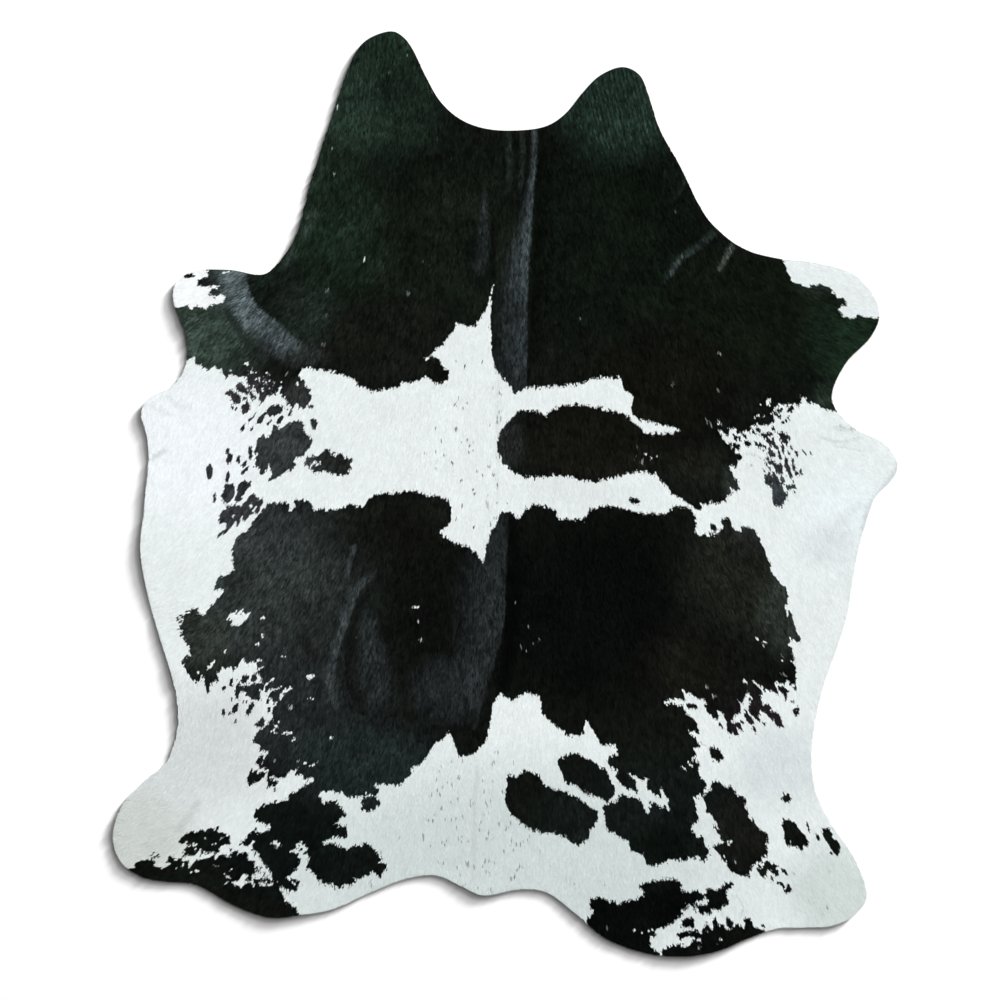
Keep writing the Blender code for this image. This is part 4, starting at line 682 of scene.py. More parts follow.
BANDS = {
    Tone.BLACK: (
        # neck: painted sheen on ridge, pleats, mane, nape and edge; painted shade on the ridge's lee side and
        # mane line
        Band("ridge_lee", (0.0018, 0.003, 0.0018), 0.8, (
            (541, 100, 3, 12), (538, 190, 4, 15), (534, 280, 3, 16), (531, 380, 3, 12))),
        Band("ridge_facet", (0.028, 0.037, 0.04), 0.95, (
            (536, 96, 4, 2), (536, 160, 5, 2), (532, 190, 9, 2), (530, 245, 24, 2), (527, 275, 30, 2),
            (526, 340, 38, 2), (524, 430, 36, 3))),
        Band("ridge_line", (0.048, 0.064, 0.064), 0.75, (
            (536, 118, 4, 2), (533, 185, 6, 2), (528, 245, 9, 3), (524, 320, 8, 3))),
        Band("poll_pleat_a", (0.013, 0.02, 0.015), 0.7, (
            (507, 118, 5, 4), (510, 165, 5, 5), (508, 198, 4, 4))),
        Band("poll_pleat_b", (0.015, 0.022, 0.017), 0.7, (
            (521, 118, 5, 4), (523, 160, 5, 4), (519, 192, 3, 4))),
        Band("mane_facet", (0.02, 0.026, 0.027), 0.8, (
            (485, 188, 3, 3), (484, 215, 6, 6), (483, 250, 10, 7), (480, 280, 13, 9))),
        Band("mane_line", (0.0015, 0.002, 0.0016), 0.9, (
            (493, 215, 3, 3), (493, 255, 4, 4), (492, 284, 3, 3))),
        Band("nape_streak", (0.012, 0.019, 0.014), 0.7, (
            (375, 246, 3, 3), (380, 262, 4, 4), (384, 276, 3, 3))),
        Band("neck_edge_light", (0.028, 0.044, 0.035), 0.7, (
            (318, 206, 8, 8), (308, 224, 7, 10), (302, 240, 5, 9))),
        Band("neck_edge_light_low", (0.028, 0.044, 0.038), 0.7, (
            (298, 246, 6, 9), (289, 258, 7, 10), (280, 271, 5, 8))),
        # left shoulder: painted sheen along the fold; painted shade on its lee side and in the leg's hollow
        Band("shoulder_lee", (0.0068, 0.0118, 0.008), 0.8, (
            (251, 280, 2, 12), (262, 303, 3, 14), (286, 324, 3, 16), (316, 344, 4, 16))),
        Band("shoulder_light", (0.086, 0.11, 0.116), 0.95, (
            (243, 240, 42, 2), (245, 272, 42, 2), (249, 295, 38, 3), (258, 310, 34, 3), (268, 318, 32, 4),
            (280, 329, 32, 5), (289, 339, 28, 6), (304, 352, 18, 8))),
        Band("shoulder_core", (0.11, 0.144, 0.156), 0.75, (
            (228, 262, 18, 14), (236, 290, 18, 14), (248, 314, 14, 12), (262, 328, 10, 9))),
        Band("leg_hollow", (0.01, 0.015, 0.0125), 0.85, (
            (222, 304, 8, 5), (234, 320, 9, 6), (243, 336, 9, 7), (252, 350, 9, 8), (270, 364, 8, 8))),
        # right shoulder: painted sheen on the folds' ripples
        Band("right_fold_a", (0.019, 0.031, 0.026), 0.8, (
            (720, 229, 9, 3), (700, 247, 8, 3), (680, 262, 7, 3), (661, 287, 6, 3))),
        Band("right_fold_a_core", (0.045, 0.06, 0.059), 0.8, (
            (685, 254, 3, 3), (676, 265, 4, 3), (670, 277, 3, 3))),
        Band("right_fold_b", (0.056, 0.064, 0.056), 0.9, (
            (734, 245, 5, 4), (727, 256, 5, 4), (718, 273, 4, 3))),
        Band("right_fold_c", (0.015, 0.027, 0.019), 0.6, (
            (689, 176, 4, 3), (680, 190, 4, 3), (671, 205, 3, 3))),
        # croup: painted sheen on the lit side and the tail's pleat; painted shade on the lee side and beside
        # the pleat
        Band("croup_lee", (0.0008, 0.0011, 0.001), 0.9, (
            (511, 480, 2, 14), (510, 600, 3, 17), (505, 650, 4, 18), (498, 702, 5, 14))),
        Band("croup_light", (0.019, 0.0245, 0.0265), 0.95, (
            (506, 490, 20, 3), (506, 545, 40, 2), (505, 575, 56, 2), (504, 600, 58, 2), (503, 620, 56, 2),
            (497, 645, 54, 4), (487, 672, 46, 6), (475, 704, 32, 8), (466, 726, 14, 8))),
        Band("tail_pleat_dark", (0.004, 0.006, 0.005), 0.8, (
            (464, 694, 3, 4), (467, 712, 5, 5), (465, 728, 3, 4))),
        Band("tail_pleat_light", (0.03, 0.04, 0.04), 0.7, (
            (480, 698, 2, 3), (478, 714, 3, 3), (473, 730, 2, 3))),
        # left haunch: painted sheen on the ring, arc and face; painted shade on their lee sides, a dent and a
        # crease
        Band("ring_lee", (0.0032, 0.0042, 0.0032), 0.95, (
            (379, 580, 3, 6), (358, 606, 4, 8), (350, 634, 4, 10), (347, 662, 4, 12), (350, 688, 4, 12),
            (366, 722, 4, 9))),
        Band("ring_light", (0.04, 0.05, 0.053), 0.9, (
            (382, 567, 3, 3), (359, 588, 7, 4), (350, 610, 9, 4), (342, 634, 10, 4), (334, 662, 12, 4),
            (332, 686, 12, 4), (339, 714, 8, 4))),
        Band("arc_lee", (0.0035, 0.0045, 0.0035), 0.8, (
            (361, 545, 3, 7), (355, 562, 3, 7), (351, 580, 3, 5))),
        Band("arc_light", (0.038, 0.048, 0.049), 0.85, (
            (357, 543, 6, 3), (351, 560, 6, 3), (346, 580, 4, 3))),
        Band("haunch_face", (0.023, 0.029, 0.03), 0.75, (
            (366, 608, 8, 12), (368, 640, 12, 20), (374, 680, 16, 24), (380, 712, 14, 20))),
        Band("saddle_dent", (0.0085, 0.0095, 0.0085), 0.8, (
            (298, 632, 8, 8), (308, 648, 11, 11), (318, 664, 7, 7))),
        Band("saddle_crease", (0.006, 0.009, 0.009), 0.6, (
            (333, 721, 3, 3), (400, 724, 3, 3), (486, 721, 3, 3))),
    ),
    Tone.WHITE: (
        # white hair: grey lines where the hair parts on the spine
        Band("spine_front", (0.66, 0.7, 0.7), 0.5, ((500, 300, 1, 3), (498, 400, 3, 3), (498, 515, 3, 3))),
        Band("spine_rear", (0.56, 0.6, 0.6), 0.5, ((478, 752, 3, 3), (475, 820, 5, 4), (474, 892, 5, 4))),
        # painted shade in the wrinkles and the belly's dent, a painted shadow along the right elbow's edge,
        # painted shade on the right flank
        Band("elbow_wrinkle_a", (0.66, 0.71, 0.73), 0.5, (
            (165, 394, 2, 2), (178, 404, 2, 2), (193, 409, 2, 2))),
        Band("elbow_wrinkle_b", (0.7, 0.74, 0.76), 0.5, (
            (150, 404, 2, 2), (160, 411, 2, 2), (172, 416, 2, 2))),
        Band("right_wrinkle_low", (0.54, 0.6, 0.62), 0.7, (
            (816, 436, 1.5, 1.5), (830, 440.5, 2, 2), (846, 441.5, 2, 2), (867, 436, 1.5, 1.5))),
        Band("right_wrinkle_lower", (0.6, 0.65, 0.67), 0.6, (
            (828, 444, 1.5, 1.5), (845, 448, 1.8, 1.8), (864, 451.5, 1.5, 1.5))),
        Band("right_wrinkle_high", (0.56, 0.64, 0.64), 0.6, (
            (832, 427, 3, 3), (843, 429, 4, 4), (856, 429.5, 3, 3))),
        Band("right_elbow_edge", (0.56, 0.58, 0.61), 0.7, (
            (899, 458, 4, 6), (893, 477, 5, 6), (877, 496, 5, 6), (867, 514, 5, 6), (860, 545, 4, 6))),
        Band("belly_dent", (0.56, 0.65, 0.61), 0.7, ((151, 459, 3, 3), (158, 455, 4, 4), (168, 449, 3, 3))),
        Band("right_flank_shade", (0.72, 0.77, 0.79), 0.6, (
            (868, 500, 8, 5), (838, 526, 10, 6), (812, 566, 8, 5))),
        # a thin dark line, and the grey ring of a scar
        Band("stray_hair", (0.33, 0.35, 0.34), 0.6, (
            (741, 455, 1.2, 1.2), (752, 454, 1.2, 1.2), (763, 459, 1.2, 1.2))),
        Band("rump_scar", (0.46, 0.52, 0.52), 0.5, (
            (720, 906, 1.6, 1.6), (725, 919, 1.6, 1.6), (738, 919, 1.6, 1.6), (743, 907, 1.6, 1.6),
            (736, 897, 1.6, 1.6), (724, 899, 1.6, 1.6))),
        # painted shade at the left hind leg's tip
        Band("left_leg_shade", (0.5, 0.53, 0.52), 0.5, (
            (202, 798, 6, 5), (190, 815, 8, 6), (176, 834, 6, 5))),
    ),
}

COMBS = (
    Comb("right_ear", (622, 105), (70, 75), 14.0, 4.2, 0.42),
    Comb("right_neck", (640, 180), (90, 60), 18.0, 4.6, 0.20),
    Comb("ridge", (512, 300), (30, 110), -3.0, 5.0, 0.25),
    Comb("left_ear", (385, 70), (60, 60), -6.0, 4.6, 0.16),
    Comb("haunch", (372, 660), (40, 70), -22.0, 5.0, 0.18),
)

CREASES = (
    Crease("left_belly_wrinkle_a", (166, 398), (178, 408), (192, 410), 0.009, -0.0014),
    Crease("left_belly_wrinkle_b", (150, 405), (158, 412), (170, 416), 0.009, -0.0012),
    Crease("left_flank_dimple", (147, 450), (154, 461), (165, 457), 0.012, -0.0024),
    Crease("left_thigh_crease", (177, 690), (188, 684), (200, 680), 0.012, -0.0014),
    Crease("right_wrinkle_a", (820, 430), (840, 433), (860, 446), 0.009, -0.0014),
    Crease("right_wrinkle_b", (824, 440), (842, 446), (858, 456), 0.009, -0.0012),
    Crease("right_dimple_a", (828, 538), (834, 544), (838, 550), 0.012, -0.0022),
    Crease("right_dimple_b", (850, 548), (854, 554), (856, 560), 0.012, -0.0018),
    Crease("right_thigh_crease", (793, 712), (802, 724), (810, 738), 0.012, -0.0016),
    Crease("haunch_ring_trough", (364, 553), (342, 630), (364, 722), 0.014, -0.0024),
    Crease("croup_trough", (518, 524), (518, 610), (508, 700), 0.018, -0.0026),
    Crease("neck_trough", (545, 150), (540, 240), (533, 372), 0.014, -0.0022),
    Crease("shoulder_trough", (252, 280), (286, 310), (322, 350), 0.020, -0.0030),
)

EDGE_LIFTS = (
    Crease("left_ear_rise", (352, 50), (342, 80), (334, 105), 0.045, 0.0012),
    Crease("left_neck_rise", (336, 122), (322, 150), (306, 188), 0.055, 0.0022),
    Crease("left_foreleg_dip", (167, 308), (172, 322), (178, 340), 0.040, -0.0020),
    Crease("left_belly_rise", (150, 452), (149, 470), (148, 488), 0.045, 0.0024),
    Crease("left_thigh_rise", (158, 632), (168, 652), (176, 672), 0.050, 0.0030),
    Crease("left_hind_leg_dip", (112, 845), (116, 868), (132, 886), 0.050, -0.0040),
    Crease("left_hind_leg_rise", (165, 889), (195, 893), (222, 906), 0.050, 0.0026),
    Crease("left_rump_rise", (345, 905), (390, 884), (430, 878), 0.050, 0.0022),
    Crease("right_rump_rise", (535, 895), (572, 916), (606, 944), 0.055, 0.0030),
    Crease("right_rump_dip", (650, 957), (664, 962), (680, 961), 0.045, -0.0022),
    Crease("right_hind_leg_rise", (735, 945), (790, 928), (855, 912), 0.050, 0.0018),
)


# ----------------------------------------------------------------------------------------------- numpy tools


class Chart:
    """Turns chart places into metres and back."""

    unit = HIDE_LENGTH / CHART_LENGTH

    @classmethod
    def metres(cls, place: Pair) -> np.ndarray:
        """Return (x, y) in metres for one place (u, v)."""
        return (np.array(place) - CHART_CENTRE) * cls.unit * (1.0, -1.0)

    @classmethod
    def places(cls, points: np.ndarray) -> np.ndarray:
        """Return (u, v) for an array of points whose first two columns are metres."""
        return points[:, :2] / cls.unit * (1.0, -1.0) + CHART_CENTRE


def smoothstep(value: np.ndarray) -> np.ndarray:
    """Return a soft step from 0 to 1."""
    clipped = np.clip(value, 0.0, 1.0)
    return clipped * clipped * (3.0 - 2.0 * clipped)


def around(value: np.ndarray) -> np.ndarray:
    """Return values from 0 to 1 as values from -1 to 1."""
    return value * 2.0 - 1.0


def square_on(way: np.ndarray) -> np.ndarray:
    """Return directions turned by a quarter, so that they run across the hair."""
    return np.column_stack((-way[:, 1], way[:, 0]))


def inside(points: np.ndarray, outline: np.ndarray) -> np.ndarray:
    """Return which points lie in a closed outline, by counting crossings.

    Args:
        points: The places to test, one row each.
        outline: The outline's corners in order.

    Returns:
        A mask with one entry for each point.
    """
    mask = np.zeros(len(points), dtype=bool)
    near = np.flatnonzero(((points >= outline.min(axis=0)) & (points <= outline.max(axis=0))).all(axis=1))
    u, v = points[near].T
    hit = np.zeros(len(near), dtype=bool)
    for start, end in zip(outline, np.roll(outline, -1, axis=0)):
        if start[1] == end[1]:
            continue
        spans = (start[1] > v) != (end[1] > v)
        hit ^= spans & (u < (end[0] - start[0]) * (v - start[1]) / (end[1] - start[1]) + start[0])
    mask[near] = hit
    return mask


class Course:
    """A smooth line through a few places of the chart, for bands and creases."""

    steps = 8  # between each two places
    fade = 0.14  # of the length, over which a band starts and ends

    def __init__(self, places: tuple[tuple[float, ...], ...]) -> None:
        """Lay the line out.

        Args:
            places: Rows that start with u and v, and may hold more columns to be carried along.
        """
        rows = np.array(places, dtype=float)
        ends = np.vstack((2.0 * rows[0] - rows[1], rows, 2.0 * rows[-1] - rows[-2]))
        t = (np.arange(self.steps) / self.steps)[:, None]
        runs = [self._between(*ends[k:k + 4], t) for k in range(len(rows) - 1)]
        self.rows = np.vstack((*runs, rows[-1:]))

    @staticmethod
    def _between(before: np.ndarray, start: np.ndarray, end: np.ndarray, after: np.ndarray,
                 t: np.ndarray) -> np.ndarray:
        """Return the smooth run between two rows.

        Args:
            before: The row before start.
            start: The row where the run starts.
            end: The row where the run ends.
            after: The row after end.
            t: Shares of the way from start to end, as a column.

        Returns:
            One row for each share.
        """
        slope_start = (end - before) / 2.0
        slope_end = (after - start) / 2.0
        return ((2 * t ** 3 - 3 * t ** 2 + 1) * start + (t ** 3 - 2 * t ** 2 + t) * slope_start
                + (3 * t ** 2 - 2 * t ** 3) * end + (t ** 3 - t ** 2) * slope_end)

    def nearest(self, places: np.ndarray) -> tuple[np.ndarray, np.ndarray, np.ndarray, np.ndarray]:
        """Return where each place lies by the line.

        Args:
            places: Chart places, one row each.

        Returns:
            Its distance, the share of the line's length at the nearest point, that point's row, and whether
            the place lies to the line's left.
        """
        line = self.rows[:, :2]
        side = line[1:] - line[:-1]
        offset = places[:, None, :] - line[None, :-1, :]
        t = np.clip((offset * side).sum(axis=2) / (side ** 2).sum(axis=1), 0.0, 1.0)
        gaps = np.linalg.norm(offset - side * t[..., None], axis=2)
        best = gaps.argmin(axis=1)
        index = np.arange(len(places))
        cross = side[best, 0] * offset[index, best, 1] - side[best, 1] * offset[index, best, 0]
        share = t[index, best]
        row = self.rows[best] * (1 - share)[:, None] + self.rows[best + 1] * share[:, None]
        return gaps[index, best], (best + share) / len(side), row, cross > 0.0

    def close(self, places: np.ndarray, reach: float) -> np.ndarray:
        """Find the places in the line's box.

        Args:
            places: Chart places, one row each.
            reach: How far the box is widened.

        Returns:
            The indices of those places.
        """
        line = self.rows[:, :2]
        past_low = places >= line.min(axis=0) - reach
        short_of_high = places <= line.max(axis=0) + reach
        return np.flatnonzero((past_low & short_of_high).all(axis=1))


def lift(creases: tuple[Crease, ...], points: np.ndarray) -> np.ndarray:
    """Return how far a set of creases lifts each point.

    Args:
        creases: The creases to add up.
        points: Rows that start with x and y in metres.

    Returns:
        One height in metres for each point.
    """
    chart = Chart.places(points)
    total = np.zeros(len(points))
    for crease in creases:
        course = Course((crease.start, crease.middle, crease.end))
        reach = crease.half_width / Chart.unit
        near = course.close(chart, reach)
        gap = course.nearest(chart[near])[0]
        total[near] += crease.height * smoothstep(1.0 - gap / reach)
    return total


class Mottle:
    """Smooth value noise on the chart, from a seeded lattice."""

    lattice = 257

    def __init__(self, seed: int, cell: float) -> None:
        """Draw the lattice's values, and keep the size of its cells."""
        self.cell = cell
        self.values = np.random.default_rng(seed).random((self.lattice, self.lattice))

    def at(self, places: np.ndarray) -> np.ndarray:
        """Return noise from 0 to 1.

        Args:
            places: Chart places, one row each.

        Returns:
            One value for each place.
        """
        scaled = places / self.cell
        base = np.floor(scaled).astype(int)
        across, down = smoothstep(scaled - base).T
        column, row = (base % self.lattice).T
        next_column = (column + 1) % self.lattice
        next_row = (row + 1) % self.lattice
        values = self.values
        upper = values[row, column] * (1 - across) + values[row, next_column] * across
        lower = values[next_row, column] * (1 - across) + values[next_row, next_column] * across
        return upper * (1 - down) + lower * down


# -------------------------------------------------------------------------------------------- the coat's dye


@dataclass
class HairFlow:
    """The direction of the hair, blended from the chart's arrows."""

    softness: float = 30.0  # on the chart
    chunk: int = 40000  # places worked on at a time

    def __post_init__(self) -> None:
        """Read the arrows."""
        rows = np.array([(arrow.u, arrow.v, arrow.du, arrow.dv) for arrow in ARROWS], dtype=float)
        self.centres = rows[:, :2]
        self.ways = rows[:, 2:] / np.linalg.norm(rows[:, 2:], axis=1)[:, None]

    def at(self, places: np.ndarray) -> np.ndarray:
        """Return the hair's unit direction.

        Args:
            places: Chart places, one row each.

        Returns:
            (du, dv) for each place.
        """
        result = np.empty((len(places), 2))
        for first in range(0, len(places), self.chunk):
            part = places[first:first + self.chunk]
            gaps = ((part[:, None, :] - self.centres[None, :, :]) ** 2).sum(axis=2)
            blend = 1.0 / (gaps + self.softness ** 2) ** 2 @ self.ways
            result[first:first + self.chunk] = blend / np.linalg.norm(blend, axis=1)[:, None]
        return result


@dataclass
class Tufts:
    """Clumps of hair. Each place belongs to the nearest clump, and clumps are longer along the hair."""

    seed: int
    lattice: int = 257
    cell: float = 3.6  # on the chart
    stretch: float = 2.4
    reach: int = 2  # cells searched to each side
    values_each: int = 3

    def __post_init__(self) -> None:
        """Draw the clumps' places in their cells, and their values."""
        rng = np.random.default_rng(self.seed)
        self.jitter = rng.random((self.lattice, self.lattice, 2))
        self.values = rng.random((self.lattice, self.lattice, self.values_each))

    def at(self, places: np.ndarray, way: np.ndarray) -> np.ndarray:
        """Return the random values, from 0 to 1, of the clump that each place belongs to.

        Args:
            places: Chart places, one row each.
            way: The hair's unit direction at each of them.

        Returns:
            One row of values for each place.
        """
        base = np.floor(places / self.cell).astype(int)
        best = np.full(len(places), np.inf)
        found = np.zeros((len(places), self.values_each))
        across = square_on(way)
        span = range(-self.reach, self.reach + 1)
        for step in ((column, row) for row in span for column in span):
            cell = base + step
            column, row = (cell % self.lattice).T
            offset = (cell + self.jitter[row, column]) * self.cell - places
            gap = ((offset * way).sum(axis=1) / self.stretch) ** 2 + (offset * across).sum(axis=1) ** 2
            closer = gap < best
            best[closer] = gap[closer]
            found[closer] = self.values[row[closer], column[closer]]
        return found


@dataclass
class Dye:
    """The pigment and colour of the coat at any place of the chart, with its painted sheen and shade."""

    flow: HairFlow
    black: Triple = (0.0030, 0.0044, 0.0030)
    white: Triple = (0.792, 0.842, 0.838)
    ragged: float = 1.2  # how far noise moves a marking's edge, on the chart
    noises: tuple[Pair, ...] = ((9.0, 0.6), (3.5, 0.4))  # the cell of each such noise, and its share
    tooth: float = 1.7  # how far clumps carry a marking's edge along the hair
    tooth_side: float = 0.5  # and across it
    dab_share: float = 0.4  # of the clumps' shift that small spots take
    dab_wobble: float = 0.4  # of the noise that small spots take
    stray: float = 15.0  # degrees that a fleck turns from the hair
    tint_core: float = 1.5  # how steeply a tint gains strength from its zone's edge
    band_core: float = 1.25  # and a band
    comb_core: float = 2.0  # and combed streaks
    band_even: float = 0.7  # of a band's strength that every clump takes
    wave: float = 1.6  # how far combed streaks wander, on the chart
    cloud_cell: float = 34.0
    grain_cell: float = 7.0
    dark_uneven: Triple = (0.32, 0.26, 0.38)  # how far clouds, grain and clumps move the shade of black hair
    pale_uneven: float = 0.02  # how far each of them moves that of white hair
    seed: int = 7
    seed_step: int = 10  # from one kind of noise to the next

    def __post_init__(self) -> None:
        """Prepare the noises, the clumps and the small spots."""
        self.wobbles = [(Mottle(self.seed + k, cell), Mottle(self.seed + self.seed_step + k, cell), share)
                        for k, (cell, share) in enumerate(self.noises)]
        self.cloud = Mottle(self.seed + 2 * self.seed_step, self.cloud_cell)
        self.grain = Mottle(self.seed + 2 * self.seed_step + 1, self.grain_cell)
        self.tufts = Tufts(self.seed + 3 * self.seed_step)
        spots = (*DABS, *self._scatter())
        self.spots = [dab for dab in spots if dab.strength == 1.0]
        self.hazes = [dab for dab in spots if dab.strength < 1.0]

    def _scatter(self) -> list[Dab]:
        """Return the flecks of every scatter zone.

        Returns:
            The flecks in the zones' order.
        """
        rng = np.random.default_rng(self.seed)
        flecks = []
        for zone in SCATTERS:
            angle = rng.random(zone.count) * math.tau
            radius = np.sqrt(rng.random(zone.count))
            for k in range(zone.count):
                u = zone.centre[0] + zone.radii[0] * radius[k] * math.cos(angle[k])
                v = zone.centre[1] + zone.radii[1] * radius[k] * math.sin(angle[k])
                du, dv = self.flow.at(np.array([(u, v)]))[0]
                heading = math.degrees(math.atan2(dv, du)) + rng.uniform(-self.stray, self.stray)
                flecks.append(Dab(zone.tone, u, v, rng.uniform(*zone.long), rng.uniform(*zone.wide), heading,
                                  zone.strength))
        return flecks

    @staticmethod
    def _covered(spots: list[Dab], places: np.ndarray) -> Iterator[tuple[Dab, np.ndarray]]:
        """Give each spot with what it covers.

        Args:
            spots: The small spots, in the order in which they are painted.
            places: Chart places, one row each.

        Returns:
            Pairs of a spot and the indices of the places that it covers.
        """
        order = np.argsort(places[:, 1], kind="stable")
        rows = places[order, 1]
        for dab in spots:
            reach = max(dab.long, dab.wide) / 2.0
            band = order[np.searchsorted(rows, dab.v - reach):np.searchsorted(rows, dab.v + reach)]
            heading = math.radians(dab.heading)
            along = np.array((math.cos(heading), math.sin(heading)))
            across = np.array((-along[1], along[0]))
            offset = (places[band] - (dab.u, dab.v)) * 2.0
            yield dab, band[np.hypot(offset @ along / dab.long, offset @ across / dab.wide) < 1.0]

    def clumps(self, places: np.ndarray) -> tuple[np.ndarray, np.ndarray]:
        """Return the clump that each place belongs to.

        Args:
            places: Chart places, one row each.

        Returns:
            The clumps' random values, and how far each place's clump carries a marking's edge.
        """
        way = self.flow.at(places)
        tuft = self.tufts.at(places, way)
        carried = (way * (around(tuft[:, 0]) * self.tooth)[:, None]
                   + square_on(way) * (around(tuft[:, 1]) * self.tooth_side)[:, None])
        return tuft, carried

    def pigment(self, places: np.ndarray, carried: np.ndarray) -> np.ndarray:
        """Return the pigment: 1 for black hair and 0 for white.

        Args:
            places: Chart places, one row each.
            carried: How far each place's clump carries a marking's edge.

        Returns:
            One value for each place.
        """
        wobble = np.zeros_like(places)
        for shift_u, shift_v, share in self.wobbles:
            reach = 2.0 * self.ragged * share
            wobble += np.column_stack((shift_u.at(places) - 0.5, shift_v.at(places) - 0.5)) * reach
        pigment = np.zeros(len(places))
        moved = places + wobble + carried
        for patch in PATCHES:
            pigment[inside(moved, patch.corners())] = patch.tone.value
        moved = places + wobble * self.dab_wobble + carried * self.dab_share
        for dab, hit in self._covered(self.spots, moved):
            pigment[hit] = dab.tone.value
        return pigment

    def shades(self, places: np.ndarray, tuft: np.ndarray) -> tuple[np.ndarray, np.ndarray]:
        """Return the linear colours of black hair and white hair, with the painted sheen and shade of the
        tints, bands and combs.

        Args:
            places: Chart places, one row each.
            tuft: The random values of each place's clump.

        Returns:
            The black hair's colour and the white hair's colour at each place.
        """
        grain = self.grain.at(places)
        noises = (self.cloud.at(places), grain, tuft[:, 2])
        dark = np.tile(self.black, (len(places), 1))
        pale = np.tile(self.white, (len(places), 1))
        for tone, target in ((Tone.BLACK, dark), (Tone.WHITE, pale)):
            for tint in TINTS[tone]:
                gap = np.linalg.norm((places - tint.centre) / tint.radii, axis=1)
                weight = (smoothstep((1.0 - gap) * self.tint_core) * tint.strength)[:, None]
                target += (np.array(tint.colour) - target) * weight
            # bands paint sheen and shade along folds, creases and edges
            for band in BANDS[tone]:
                near, weight = self._band(band, places, tuft)
                target[near] += (np.array(band.colour) - target[near]) * weight[:, None]
        # combs paint streaks of sheen and shade on black hair
        for comb in COMBS:
            gap = np.linalg.norm((places - comb.centre) / comb.radii, axis=1)
            turn = math.radians(comb.degrees)
            across = places @ np.array((math.cos(turn), -math.sin(turn))) + self.wave * grain
            ripple = np.sin(across * math.tau / comb.spacing) * comb.strength
            dark *= (1.0 + ripple * smoothstep((1.0 - gap) * self.comb_core))[:, None]
        for noise, uneven in zip(noises, self.dark_uneven):
            dark *= (1.0 + uneven * around(noise))[:, None]
        pale *= (1.0 + self.pale_uneven * sum(around(noise) for noise in noises))[:, None]
        for dab, hit in self._covered(self.hazes, places):
            hazed, other = (dark, pale) if dab.tone is Tone.WHITE else (pale, dark)
            hazed[hit] += (other[hit] - hazed[hit]) * dab.strength
        return dark, pale

    def _band(self, band: Band, places: np.ndarray, tuft: np.ndarray) -> tuple[np.ndarray, np.ndarray]:
        """Return what a band reaches.

        Args:
            band: The band.
            places: Chart places, one row each.
            tuft: The random values of each place's clump.

        Returns:
            The indices of the places that it reaches, and its weight at each.
        """
        course = Course(band.path)
        near = course.close(places, max(max(row[2:]) for row in band.path))
        if not len(near):
            return near, np.zeros(0)
        gap, along, row, to_left = course.nearest(places[near])
        width = np.where(to_left, row[:, 2], row[:, 3])
        weight = smoothstep((1.0 - gap / width) * self.band_core) * band.strength
        ends = smoothstep(np.minimum(along, 1.0 - along) / course.fade)
        return near, weight * ends * (self.band_even + (1.0 - self.band_even) * tuft[near, 2])


# --------------------------------------------------------------------------------------------- node helpers


class NodeTree:
    """Adds nodes to a tree by kind and wires them by socket name."""

    def __init__(self, tree: bpy.types.NodeTree) -> None:
        """Keep the tree."""
        self.tree = tree

    def add(self, kind: str, values: dict | None = None, **settings: str) -> bpy.types.Node:
        """Return a new node.

        Args:
            kind: The node's type name.
            values: Default values for its inputs, by name or number.
            settings: Properties of the node.

        Returns:
            The node.
        """
        node = self.tree.nodes.new(kind)
        for name, value in settings.items():
            setattr(node, name, value)
        for name, value in (values or {}).items():
            node.inputs[name].default_value = value
        return node

    def attribute(self, name: str) -> bpy.types.Node:
        """Return a node that reads a piece's own attribute."""
        return self.add("ShaderNodeAttribute", attribute_name=name)

    def maths(self, operation: str, second: float = 0.0) -> bpy.types.Node:
        """Return a node for one sum, with its second value where that isn't wired."""
        return self.add("ShaderNodeMath", {1: second}, operation=operation)

    def remap(self, given: Pair, wanted: Pair = (0.0, 1.0)) -> bpy.types.Node:
        """Return a node that turns one range of values into another."""
        sockets = ("From Min", "From Max", "To Min", "To Max")
        return self.add("ShaderNodeMapRange", dict(zip(sockets, (*given, *wanted))))

    def wire(self, *links: tuple) -> None:
        """Join (node, output, node, input) rows."""
        for source, output, target, entry in links:
            self.tree.links.new(source.outputs[output], target.inputs[entry])


class Finish:
    """A material made of nodes. Sub-classes fill in paint()."""

    name = "finish"

    def __init__(self) -> None:
        """Make the material and paint it."""
        self.material = bpy.data.materials.new(self.name)
        self.material.use_nodes = True
        self.nodes = NodeTree(self.material.node_tree)
        self.shader = self.material.node_tree.nodes["Principled BSDF"]
        self.paint()

    def paint(self) -> None:
        """Build the material's nodes."""
        raise NotImplementedError

    def values(self, **values: float | Quad) -> None:
        """Set uniform values on the shader, with _ for a space in a socket's name."""
        for name, value in values.items():
            self.shader.inputs[name.replace("_", " ")].default_value = value


class DyedFinish(Finish):
    """A finish that takes the coat's dye with its painted sheen and shade, with a crisp edge between black and
    white.
    """

    edge = (0.28, 0.46)  # the pigment at which white turns black

    def dye(self) -> bpy.types.Node:
        """Add the nodes that choose between the two dyes.

        Returns:
            The node that gives the chosen colour.
        """
        n = self.nodes
        edge = n.remap(self.edge)
        chosen = n.add("ShaderNodeMix", data_type="RGBA")
        n.wire(
            (n.attribute("pigment"), "Fac", edge, "Value"),
            (edge, 0, chosen, 0),
            (n.attribute("pale_dye"), "Color", chosen, MIX_FIRST),
            (n.attribute("dark_dye"), "Color", chosen, MIX_SECOND),
        )
        return chosen


